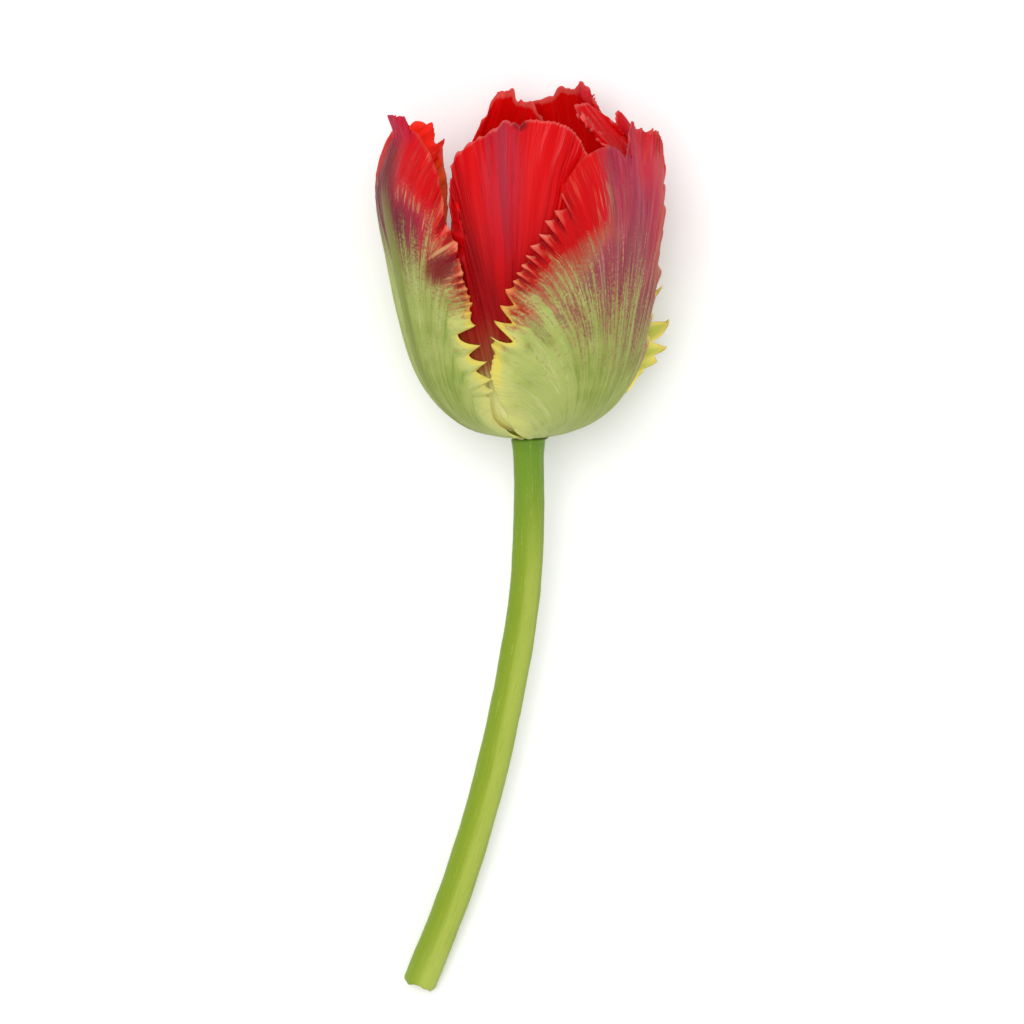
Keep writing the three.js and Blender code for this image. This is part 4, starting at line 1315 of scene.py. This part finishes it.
def tepals() -> list[Tepal]:
    """The six tepals of the bloom.

    Returns:
        In the order in which they are made.
    """
    return [
        Tepal(
            "outer_tepal_left", Whorl.OUTER, 1, 204,
            crown=((36.8, 61), (36.9, 69), (34.6, 76), (33, 80), (34.6, 85.4)),
            plus=Half(
                ((3, 85), (8, 85.3), (11, 84.9), (12.2, 83.4), (12.4, 81.6), (14.4, 81.2), (18, 79.8),
                 (24.5, 77.2), (28.5, 74.6), (31.5, 71.8), (33.5, 68), (34.6, 63.5), (36, 58.5), (38.4, 54),
                 (40.5, 49), (41.4, 44), (41.4, 39), (41, 34), (41.2, 29), (42.6, 24), (44.4, 19.5),
                 (45.3, 15.5), (43.6, 11.5), (42, 8), (43.5, 5.4), (49, 3.4)),
                ((0.176, 0.283, 3, 0.5), (0.291, 0.449, 3, 1.6), (0.482, 0.615, 6, 1.2)),
                ((0.633, 2), (0.646, -5), (0.689, 2.5), (0.7, -3), (0.736, 3.2), (0.745, -2.6), (0.782, 2.6),
                 (0.791, -1.3), (0.808, 2), (0.826, -1.8)), foot=51.7, folds=2),
            minus=Half(
                ((3, 85), (-3, 84.8), (-4.6, 82.4), (-6.4, 80.2), (-12, 79.2), (-22, 79), (-26.5, 79.4),
                 (-31.5, 80.2), (-37.5, 79.8), (-43.5, 78), (-50, 75.6), (-54, 73.8), (-58, 74), (-65, 72.6),
                 (-72, 69.6), (-77.5, 65.4), (-80.5, 59), (-80.5, 46), (-79, 34), (-76, 24), (-70, 15)),
                ((0.2, 0.37, 4, 0.5), (0.37, 0.5, 3, 0.7), (0.5, 0.9, 8, 0.8)), foot=64, folds=18, flick=0),
            swells=(Swell(42, 48, 7, 5, 1.6), Swell(38, 40, 7, 5, -0.9)),
            knob=0.8,
            look=Look(
                green_top=0.56, green_fade=0.16, blush=tone(106, 38, 42), pale=tone(136, 112, 74),
                rib=tone(112, 20, 44), rib_width=0.17, rib_green=0.85, red_reach=29, feathers=0.7, fray=0.6,
                lining_lit=0.5,
                # the first blot is painted shade in the hollow below the fold
                blots=(Blot(0.49, 0.565, 0.17, 0.06, 0.14, tone(120, 8, 26), 0.95),
                       Blot(0.02, 1.0, 0.3, 0.09, 0, tone(190, 22, 58), 0.85),
                       Blot(0.52, 0.62, 0.14, 0.008, 0.24, tone(226, 178, 116), 0.6)),
                # the first lining blot is a brighter orange-red, painted light standing in for light through
                # the tissue where the lining is shaded
                lining_blots=(Blot(-0.7, 0.9, 0.8, 0.14, 0, tone(246, 44, 30), 0.9),
                              Blot(-1.32, 0.62, 0.3, 0.2, 0, tone(236, 110, 50), 0.8))),
        ),
        Tepal(
            "outer_tepal_right", Whorl.OUTER, 2, 318,
            crown=((36.1, 61), (36, 72), (35.4, 82.5)),
            plus=Half(
                ((-1, 73.2), (1, 75.5), (4, 80.4), (6.8, 82), (9, 80.4), (12, 79.3), (18.5, 78.6),
                 (27.3, 77.4), (38, 75.2), (44, 69), (46.5, 55), (47.5, 38), (48, 24), (48, 12)),
                ((0.14, 0.3, 4, 0.8), (0.4, 0.62, 4, 0.7), (0.62, 0.9, 5, 2.4)), foot=52, folds=0.4),
            minus=Half(
                ((-1, 73.2), (-2.3, 75.4), (-5, 76.6), (-9.6, 77), (-15.6, 76.4), (-21.5, 74.8), (-25.6, 72),
                 (-28.3, 69), (-31, 65.5), (-33.5, 62.3), (-38, 58), (-42, 54.3), (-45, 51.7), (-47.5, 49.3),
                 (-50, 46.6), (-52.5, 43.7), (-54.5, 40.5), (-56, 37), (-57.5, 33.5), (-59, 30.3),
                 (-61.5, 27.5), (-64, 24.5), (-65.3, 21), (-65, 17.5), (-64.6, 14.8), (-63, 9.5), (-60, 5),
                 (-57.6, 3.2)),
                (),
                ((0.241, -0.1), (0.251, 0.9), (0.266, -2.4), (0.296, 0.9), (0.304, -1), (0.331, 1.6),
                 (0.339, -2.6), (0.366, 0.9), (0.374, -1), (0.403, 1.1), (0.411, -2), (0.428, 0.7),
                 (0.437, -0.7), (0.452, 0.6), (0.461, -0.6), (0.477, 0.7), (0.486, -0.6), (0.502, 0.5),
                 (0.512, -0.5), (0.53, 1.5), (0.56, -1.7), (0.572, 1.7), (0.606, -2.3), (0.617, 2.5),
                 (0.648, -3.4), (0.665, 2.5), (0.674, 1.2), (0.684, 1.6), (0.71, 0.1)),
                foot=56.8, folds=0.4, ruffle=0.9),
            swells=(Swell(-57, 26, 12, 12, 1.5), Swell(3, 66, 4, 14, 0.8), Swell(14, 72, 6, 12, -1)),
            look=Look(
                green_top=0.28, green_fade=0.27, green_climb=0.03, blush=tone(158, 70, 80), rib_width=0.2,
                rib_green=0.0, red_from=0.4, red_reach=85, red_sides=(1.0, 0.0), flank=0.9, feathers=0.45,
                blots=(Blot(-0.5, 0.55, 0.36, 0.06, 0.32, tone(160, 108, 78), 0.4),)),
        ),
        Tepal(
            "outer_tepal_back", Whorl.OUTER, 3, 68,
            crown=((35.6, 59), (33.6, 68), (30, 77), (27, 82.6), (24, 86.4)),
            plus=Half(
                ((-20, 86.6), (-13, 84.4), (-6, 84.6), (-2, 84.4), (1, 83.2), (4, 81.6), (10, 81), (16, 81),
                 (23, 79), (30, 74), (38, 64), (44, 50), (46, 36), (48, 22), (53, 12)),
                ((0.08, 0.4, 4, 0.5), (0.4, 0.9, 8, 1.6)), foot=60, folds=0.4),
            minus=Half(
                ((-20, 86.6), (-23.4, 86.6), (-24.6, 85), (-23.8, 82.6), (-23.4, 80), (-23.8, 76.5),
                 (-26.6, 70), (-33, 60), (-38, 49), (-42, 40), (-46, 33), (-50, 28), (-53, 23), (-54, 17),
                 (-53, 13), (-51, 9)),
                ((0.15, 0.5, 6, 1.2),),
                ((0.66, 2), (0.675, -0.4), (0.7, 5.2), (0.74, -4.5), (0.79, 3.6), (0.828, -2.2), (0.853, 2),
                 (0.875, -0.8), (0.892, 0.8), (0.92, -0.1)), foot=49, folds=0.4),
            swells=(Swell(-55, 21, 8, 12, 5.5), Swell(-19, 82.5, 4, 4, -1.6)),
            knob=0.5,
            look=Look(
                green_top=0.44,
                lining_blots=(Blot(-0.34, 0.985, 0.1, 0.035, 0, tone(224, 60, 74), 0.6),
                              Blot(-0.85, 0.505, 0.4, 0.05, 0, tone(226, 112, 44), 0.9))),
        ),
        Tepal(
            "inner_tepal_front", Whorl.INNER, 4, 264,
            crown=((32.7, 48), (32.9, 60), (31.8, 70), (30.6, 78), (30, 85)),
            plus=Half(
                ((3, 83.8), (5, 84.4), (7.7, 83.4), (10, 84.6), (14.5, 84.7), (19, 84.3), (24, 83.8),
                 (29.6, 82.6), (34, 80.8), (37, 78.8), (38.8, 76), (37.6, 73), (33.6, 70.5), (30.5, 66),
                 (30, 58), (32, 46), (35, 32), (37, 18)),
                ((0.3, 0.44, 4, 0.8), (0.5, 0.85, 4, 1.6)), foot=48, band=4),
            minus=Half(
                ((3, 83.8), (1.5, 84.9), (-1, 84.6), (-3.6, 83), (-8.7, 81.8), (-14.3, 80.2), (-21, 77.8),
                 (-26, 75), (-26.6, 70), (-26.4, 60), (-27, 50), (-33, 38), (-41, 25), (-45, 14)),
                ((0.05, 0.3, 5, 0.6), (0.34, 0.85, 6, 1.6)), foot=50, band=4, flick=0),
            swells=(Swell(3, 80, 4, 7, -0.8),),
            # painted shadow of a small curl in the margin near the top
            look=Look(blots=(Blot(0.13, 0.985, 0.07, 0.02, 0, tone(112, 0, 8), 0.8),)),
        ),
        Tepal(
            "inner_tepal_right", Whorl.INNER, 5, 2,
            crown=((32.6, 46), (31.8, 57), (29, 67), (24.4, 76), (18.6, 85)),
            plus=Half(
                ((-33, 85.2), (-26, 85), (-20, 84.2), (-16.6, 83), (-14.4, 81.4), (-13, 79), (-11.6, 79.2),
                 (-9.4, 81.2), (-6.5, 81.8), (-3, 80.6), (0, 79), (3, 76.4), (5, 74.5), (10, 72), (18, 69),
                 (26, 64), (33, 56), (40, 44), (44, 30), (44, 15)),
                ((0.5, 0.85, 6, 2),), foot=42, band=4),
            minus=Half(
                ((-33, 85.2), (-38, 85), (-42, 83.2), (-39, 81.4), (-35, 79.6), (-34, 76.6), (-34, 72.5),
                 (-36, 66), (-42, 56), (-45, 46), (-46, 34), (-46, 24), (-45, 15)),
                (),
                ((0.05, 0.8), (0.064, -1.6), (0.082, 1.8), (0.098, -2.6), (0.116, 2.6), (0.136, -3.2),
                 (0.156, 3), (0.177, -3.2), (0.2, 3), (0.224, -2.8), (0.252, 2.4), (0.28, -2), (0.32, 1),
                 (0.36, -0.8), (0.48, 1.2), (0.52, -0.8), (0.6, 1.2), (0.64, -0.8), (0.74, 1.2),
                 (0.78, -0.8)),
                foot=44, band=5, flick=0.1),
            swells=(Swell(-3, 80, 10, 13, 5.2),),
        ),
        Tepal(
            "inner_tepal_left", Whorl.INNER, 6, 120,
            crown=((32.6, 46), (31, 58), (27.4, 68), (22.6, 77.5), (19.4, 85)),
            plus=Half(
                ((-19, 85.6), (-16, 84.2), (-12.5, 82), (-8.5, 79), (-5.4, 75), (-4, 69), (-4.5, 58),
                 (-1, 47), (13, 35), (32, 24), (42, 15)),
                ((0.03, 0.3, 4, 0.5), (0.3, 0.85, 6, 1.6)), foot=52, band=2.2),
            minus=Half(
                ((-19, 85.6), (-24, 85.8), (-27.5, 84.8), (-29.5, 82.6), (-33, 81.8), (-39, 81.4), (-43, 80),
                 (-45, 76), (-46, 68), (-47, 56), (-47, 30), (-46, 15)),
                ((0.03, 0.4, 6, 0.8), (0.4, 0.85, 6, 1.8)), foot=42, band=4),
        ),
    ]


# ---------------------------------------------------------------- stem


@dataclass
class Stem:
    """The bare curved stem, from its cut up to the receptacle inside the bloom."""

    neck_radius: float = 3.85
    cut_radius: float = CUT_RADIUS
    flare_length: float = 6.0
    collar: tuple[Pair, ...] = ((4.4, -0.1), (2.8, -0.1), (2.8, 3.9), (5.8, 4.45), (5.8, 5.0))  # radius, z
    sides: int = 56
    steps: int = 220
    slimness: float = 0.985  # how far its skin stays inside the collar's and neck's radii
    grooves: int = 7
    groove: float = 0.05
    ripple: float = 0.04
    lump: float = 0.06
    lip: float = 0.35  # how far the rim of the cut is rounded off
    lip_length: float = 0.8
    ragged: float = 0.45
    ragged_length: float = 2.5

    HOLLOW = ((0.25, 0.5), (0.6, 0.3), (0.88, 0.05))  # rings in the cut face: share of its radius, dip
    CUT_FACING = (0.35, 0, 0.94)

    ROUGHNESS = 0.42
    RELIEF = 0.00018
    NEAR_BLOOM = tone(112, 148, 48)
    UPPER = tone(140, 161, 44)
    LOWER = tone(146, 166, 44)
    NEAR_CUT = tone(158, 176, 64)
    # painted shade for one side and a painted highlight line
    SHADY = tone(118, 148, 38)
    PALE_HIGHLIGHT_LINE = tone(188, 200, 96)
    LINE = tone(110, 140, 36)
    LIGHT_LINE = tone(196, 206, 112)

    def shape(self, lie: Lie) -> Shape:
        """The stem's rings from the cut to the receptacle's disc.

        Args:
            lie: lays it down.

        Returns:
            The shape.
        """
        line = Spline(STEM_LINE)
        turn = circle(self.sides)
        share = np.linspace(1, 1 / self.steps, self.steps)
        at, heading = line.at(share), line.heading(share)
        flare = np.clip(1 + at[:, 1] / self.flare_length, 0, 1) ** 2
        plain = self.neck_radius + (self.cut_radius - self.neck_radius) * share
        radius = plain + (self.collar[0][0] - plain) * flare
        from_cut = (1 - share) * line.length
        around = turn[None, :] / (2 * math.pi)
        grooves = self.groove * np.cos(self.grooves * turn)[None, :] + self.ripple * waves(around, 4, 5)
        wavering = share[:, None] + 0.1 * np.cos(turn)[None, :]
        lumps = self.lump * waves(share, 8, 5)[:, None] + self.groove * waves(wavering, 2, 11)
        lip = -self.lip * smooth(self.lip_length, 0, from_cut)[:, None]
        radii = (radius * self.slimness)[:, None] + grooves + lumps + lip
        ragged = smooth(self.ragged_length, 0, from_cut)[:, None] * self.ragged * waves(around, 21, 4)
        zero = 0 * share
        middle = np.stack([at[:, 0], zero, at[:, 1]], -1)[:, None, :]
        across = np.stack([-heading[:, 1], zero, heading[:, 0]], -1)[:, None, :]
        ahead = np.stack([heading[:, 0], zero, heading[:, 1]], -1)[:, None, :]
        back = np.array([0.0, 1.0, 0.0])
        out = np.cos(turn)[None, :, None] * across + np.sin(turn)[None, :, None] * back
        rings = middle + radii[..., None] * out + ragged[..., None] * ahead
        tops = [np.stack([lie.SEAT + ring_radius * np.cos(turn), ring_radius * np.sin(turn),
                          np.full(self.sides, height)], -1) for ring_radius, height in self.collar]
        rings = lie.stem_world(np.concatenate([self.hollow(rings[0], middle[0, 0]), rings, tops]))
        rings[..., 2] = np.maximum(rings[..., 2], TABLE_GAP)
        cut_rings = len(self.HOLLOW)
        down = np.concatenate([np.ones(cut_rings), share, np.zeros(len(self.collar))])
        stored = {"down": np.broadcast_to(down[:, None], rings.shape[:2]),
                  "round": np.broadcast_to(turn[None, :], rings.shape[:2])}
        body = tube(rings, stored)
        cut_faces = cut_rings * self.sides
        body.slots[:cut_faces] = [1] * cut_faces
        return body

    def hollow(self, rim: np.ndarray, middle: np.ndarray) -> np.ndarray:
        """Rings inside the cut's rim, so that the cut face dips a little."""
        ahead = np.array(self.CUT_FACING)
        return np.stack([middle + (rim - middle) * share + ahead * dip for share, dip in self.HOLLOW])

    def skin(self) -> bpy.types.Material:
        """Fresh green with faint lengthwise lines, darker towards the bloom, with painted shade down one side
        and a painted highlight along a line on another.

        Returns:
            The material.
        """
        paint = Paint("stem_skin", self.ROUGHNESS, sheen=0.05, glow=0.05)
        mix = paint.mix
        down, around = paint.read("down"), paint.read("round")
        lines = paint.streaks(around, down, 9, 14, 3.1)
        bands = paint.streaks(around, down, 2, 5, 5.4)
        speckle = paint.grain(900)
        colour = mix(self.NEAR_BLOOM, self.UPPER, (down + bands * 0.1).step(0.0, 0.25))
        colour = mix(colour, self.LOWER, (down + bands * 0.15).step(0.2, 0.5))
        colour = mix(colour, self.NEAR_CUT, (down + bands * 0.1).step(0.85, 1.0))
        # painted shade down one side of the stem
        shady = 1 - (paint.maths("COSINE", around) + bands * 0.3).step(-0.7, 0.2)
        colour = mix(colour, self.SHADY, shady * 0.55)
        # a painted highlight along one line of the stem
        pale = 1 - (paint.maths("SINE", around - 0.5) + 1 + bands * 0.15).step(0.02, 0.25)
        colour = mix(colour, self.PALE_HIGHLIGHT_LINE, pale * (down.step(0.08, 0.3) * 0.5))
        colour = mix(colour, self.LINE, (lines + speckle * 0.3).step(0.05, 0.5) * 0.4)
        colour = mix(colour, self.LIGHT_LINE, (speckle * 0.5 - lines).step(0.15, 0.5) * 0.3)
        paint.finish(colour, lines * 0.6 + speckle * 0.25, self.RELIEF, self.ROUGHNESS + lines * 0.1)
        return paint.material

    def flesh(self) -> bpy.types.Material:
        """The pale wet cut with the dots of its vessels.

        Returns:
            The material.
        """
        paint = Paint("stem_flesh", 0.35, glow=0.1)
        place = paint.node("ShaderNodeTexCoord", {}, {}, "Object")
        vessels = paint.node("ShaderNodeTexVoronoi", {}, {"Vector": place, "Scale": 1300.0}, "Distance")
        speckle = paint.grain(1500, 3)
        colour = paint.mix(tone(196, 204, 120), tone(170, 182, 88), speckle.step(-0.3, 0.4))
        colour = paint.mix(colour, tone(126, 138, 60), 1 - vessels.step(0.15, 0.35))
        paint.finish(colour, speckle * 0.5 + vessels * -0.5, 0.0002)
        return paint.material

    def build(self, lie: Lie) -> bpy.types.Object:
        """Makes the finished piece."""
        return self.shape(lie).piece("flower_stem", [self.skin(), self.flesh()], "stem", "stem")


# ---------------------------------------------------------------- pistil and stamens


@dataclass
class Pistil:
    """The three-cornered ovary and the frilled stigma on it."""

    foot: float = 5.3
    length: float = 17.0
    radius: float = 3.3
    stigma_height: float = 3.6
    stigma_radius: float = 4.6
    gap: float = 0.3
    sides: int = 72

    def ovary(self) -> np.ndarray:
        """The ovary's rings: three blunt corners with a seam down each.

        Returns:
            Points by ring, then by side.
        """
        share, turn = column(40, self.sides)
        belly = 0.84 + 0.2 * np.sin(math.pi * share)
        corners = 1 + 0.09 * np.cos(3 * turn)
        seams = (-0.12 * np.exp(-((np.cos(1.5 * turn) / 0.12) ** 2))
                 - 0.06 * np.exp(-((np.sin(1.5 * turn) / 0.08) ** 2)))
        ends = smooth(0, 0.03, share) * smooth(1, 0.97, share)
        radius = (self.radius * belly * corners + seams) * (0.9 + 0.1 * ends)
        return upright(radius, turn, self.foot + self.length * share)

    def stigma(self) -> np.ndarray:
        """The stigma's rings: three lobes with a frilled ridge and a groove between them.

        Returns:
            Points by ring, then by side.
        """
        share, turn = column(28, self.sides)
        lobe = 0.48 + 0.52 * np.sqrt(np.abs(np.cos(1.5 * turn)))
        swell = 0.5 + 0.5 * np.sin(math.pi * share * 0.8)
        frill = 1 + 0.05 * share * np.cos(21 * turn) + 0.03 * waves(turn / (2 * math.pi), 5, 13)
        radius = self.stigma_radius * lobe * swell * np.minimum(frill, 1.04)
        dip = -0.7 * smooth(0.8, 1, share) * np.exp(-((np.sin(1.5 * turn) / 0.3) ** 2))
        return upright(radius, turn, self.foot + self.length + self.gap + self.stigma_height * share + dip)

    def build(self, lie: Lie) -> None:
        """Makes the two finished pieces, laid down."""
        parts = (("ovary", self.ovary(), self.waxy()), ("stigma", self.stigma(), self.velvet()))
        for node, rings, finish in parts:
            plain_piece(f"pistil_{node}", lie.bloom_world(rings), finish, node, node)

    def waxy(self) -> bpy.types.Material:
        """Waxy green, paler towards the top.

        Returns:
            The material.
        """
        paint = Paint("ovary_wax", 0.38, sheen=0.05, glow=0.1)
        share, speckle, cloud = paint.read("share"), paint.grain(1800, 3), paint.grain(250)
        colour = paint.mix(tone(150, 168, 74), tone(190, 198, 116), (share + cloud * 0.6).step(0.1, 0.95))
        colour = paint.mix(colour, tone(120, 142, 58), (speckle + cloud).step(0.2, 0.7) * 0.5)
        paint.finish(colour, speckle, 0.00012)
        return paint.material

    def velvet(self) -> bpy.types.Material:
        """Velvety pale yellow, whiter on the ridges.

        Returns:
            The material.
        """
        paint = Paint("stigma_velvet", 0.85, sheen=0.4, glow=0.1)
        share, speckle, cloud = paint.read("share"), paint.grain(3200, 3), paint.grain(500)
        colour = paint.mix(tone(212, 200, 112), tone(238, 228, 168), (share + cloud * 0.5).step(0.2, 0.9))
        colour = paint.mix(colour, tone(190, 170, 84), speckle.step(0.1, 0.6) * 0.5)
        paint.finish(colour, speckle, 0.0002)
        return paint.material


@dataclass
class Stamens:
    """Six stamens round the pistil, each a filament and an anther with its pollen sacs split open."""

    count: int = 6
    ring_radius: float = 4.7
    first: float = 30.0
    lean: float = 9.0
    disc_top: float = 5.3
    filament_length: float = 9.5
    filament_radius: float = 0.75
    taper: float = 0.55
    anther_length: float = 11.5
    anther_radius: float = 1.6
    gap: float = 0.3
    sides: int = 32

    def placed(self, number: int, rings: np.ndarray) -> np.ndarray:
        """Stands a filament's or anther's rings up in the stamen's place.

        Args:
            number: which stamen, from 0.
            rings: its rings round the z axis.

        Returns:
            The rings on the receptacle.
        """
        compass = self.first + 360 / self.count * number
        around = math.radians(compass)
        foot = self.disc_top + self.filament_radius * math.sin(math.radians(self.lean))
        base = np.array([self.ring_radius * math.cos(around), self.ring_radius * math.sin(around), foot])
        return rings @ (about(Axis.Z, compass) @ about(Axis.Y, self.lean)).T + base

    def filament(self) -> np.ndarray:
        """A tapering thread's rings."""
        share, turn = column(12, self.sides)
        radius = self.filament_radius * (1 - self.taper * share) * (1 + 0.06 * np.cos(2 * turn))
        return upright(radius, turn, self.filament_length * share)

    def anther(self, number: int) -> np.ndarray:
        """A spindle's rings, with four pollen sacs and a rough surface of its own for each number.

        Args:
            number: which stamen, from 0.

        Returns:
            Points by ring, then by side.
        """
        share, turn = column(32, self.sides)
        body = 0.4 + 0.6 * np.sin(math.pi * share)
        sacs = 1 - 0.22 * np.cos(turn) ** 4 - 0.16 * np.sin(turn) ** 8
        rough = 1 - 0.03 * (1 + waves(turn / (2 * math.pi) + 3.7 * share, number, 9))
        radius = self.anther_radius * body * sacs * rough
        return upright(radius, turn, self.filament_length + self.gap + self.anther_length * share)

    def build(self, lie: Lie) -> None:
        """Makes the twelve finished pieces.

        Args:
            lie: lays them down.
        """
        thread, powder = self.thread(), self.powder()
        for number in range(self.count):
            parts = (("filament", self.filament(), thread), ("anther", self.anther(number), powder))
            for part, rings, finish in parts:
                node = f"{part}_{number + 1}"
                plain_piece(f"stamen_{node}", lie.bloom_world(self.placed(number, rings)), finish, part, node)

    def thread(self) -> bpy.types.Material:
        """Pale yellow, darker at the foot.

        Returns:
            The material.
        """
        paint = Paint("filament_thread", 0.5, sheen=0.1, glow=0.1)
        share, speckle = paint.read("share"), paint.grain(1200)
        colour = paint.mix(tone(60, 44, 52), tone(214, 200, 132), (share + speckle * 0.3).step(0.1, 0.4))
        paint.finish(colour, speckle, 0.0001)
        return paint.material

    def powder(self) -> bpy.types.Material:
        """Purple-black with pollen dust.

        Returns:
            The material.
        """
        paint = Paint("anther_powder", 0.95, sheen=0.2)
        dust, cloud = paint.grain(5200, 3), paint.grain(700)
        colour = paint.mix(tone(44, 28, 38), tone(74, 52, 62), (dust + cloud).step(-0.3, 0.6))
        colour = paint.mix(colour, tone(132, 112, 84), (dust * 0.8 + cloud * 0.5).step(0.3, 0.6) * 0.6)
        paint.finish(colour, dust, 0.0002)
        return paint.material


# ---------------------------------------------------------------- room


@dataclass
class Studio:
    """A pale floor, soft light and a camera that looks straight down."""

    floor_side: float = 6.0
    view_side: float = 0.256
    view_middle: Pair = (-0.00275, 0.00625)
    camera_height: float = 1.2
    ambient: float = 0.88
    sun_strength: float = 1.4
    sun_softness: float = 35.0  # degrees across
    sun_from: Triple = (-0.12, 0.12, 1.0)

    def floor(self) -> None:
        """A flat, pale, faintly clouded floor."""
        half = self.floor_side / 2
        corners = [(-half, -half, 0), (half, -half, 0), (half, half, 0), (-half, half, 0)]
        mesh = bpy.data.meshes.new("floor")
        mesh.from_pydata(corners, [], [(0, 1, 2, 3)])
        paint = Paint("floor_paint", 0.9)
        cloud = paint.grain(3)
        paint.finish(paint.mix((0.93, 0.93, 0.93, 1), (0.96, 0.96, 0.96, 1), cloud.step(-0.4, 0.4)))
        mesh.materials.append(paint.material)
        floor = bpy.data.objects.new("floor", mesh)
        bpy.context.scene.collection.objects.link(floor)

    def light(self) -> None:
        """Even light from all round and a soft sun up on the left."""
        world = bpy.data.worlds.new("room")
        world.use_nodes = True
        background = world.node_tree.nodes["Background"]
        background.inputs["Color"].default_value = (1, 1, 1, 1)
        background.inputs["Strength"].default_value = self.ambient
        bpy.context.scene.world = world
        lamp = bpy.data.lights.new("key", "SUN")
        lamp.energy = self.sun_strength
        lamp.angle = math.radians(self.sun_softness)
        key = bpy.data.objects.new("key", lamp)
        x, y, z = self.sun_from
        key.location = self.sun_from
        key.rotation_euler = (math.atan2(math.hypot(x, y), z), 0, math.atan2(x, -y))
        bpy.context.scene.collection.objects.link(key)

    def camera(self) -> None:
        """A camera straight above the flower."""
        lens = bpy.data.cameras.new("camera")
        lens.type = "ORTHO"
        lens.ortho_scale = self.view_side
        lens.clip_start, lens.clip_end = 0.01, 10
        camera = bpy.data.objects.new("camera", lens)
        camera.location = (*self.view_middle, self.camera_height)
        bpy.context.scene.collection.objects.link(camera)
        bpy.context.scene.camera = camera
        bpy.context.scene.view_settings.view_transform = "Standard"

    def build(self) -> None:
        """Sets the room up."""
        self.floor()
        self.light()
        self.camera()


def main() -> None:
    """Builds the flower and its room."""
    logging.basicConfig(level=logging.INFO, format="%(name)s: %(message)s")
    Studio().build()
    lie = Lie()
    log.info("laid down at %s mm", np.round(lie.place, 3))
    for tepal in tepals():
        tepal.build(lie)
    Stem().build(lie)
    Pistil().build(lie)
    Stamens().build(lie)


if __name__ == "__main__":
    main()
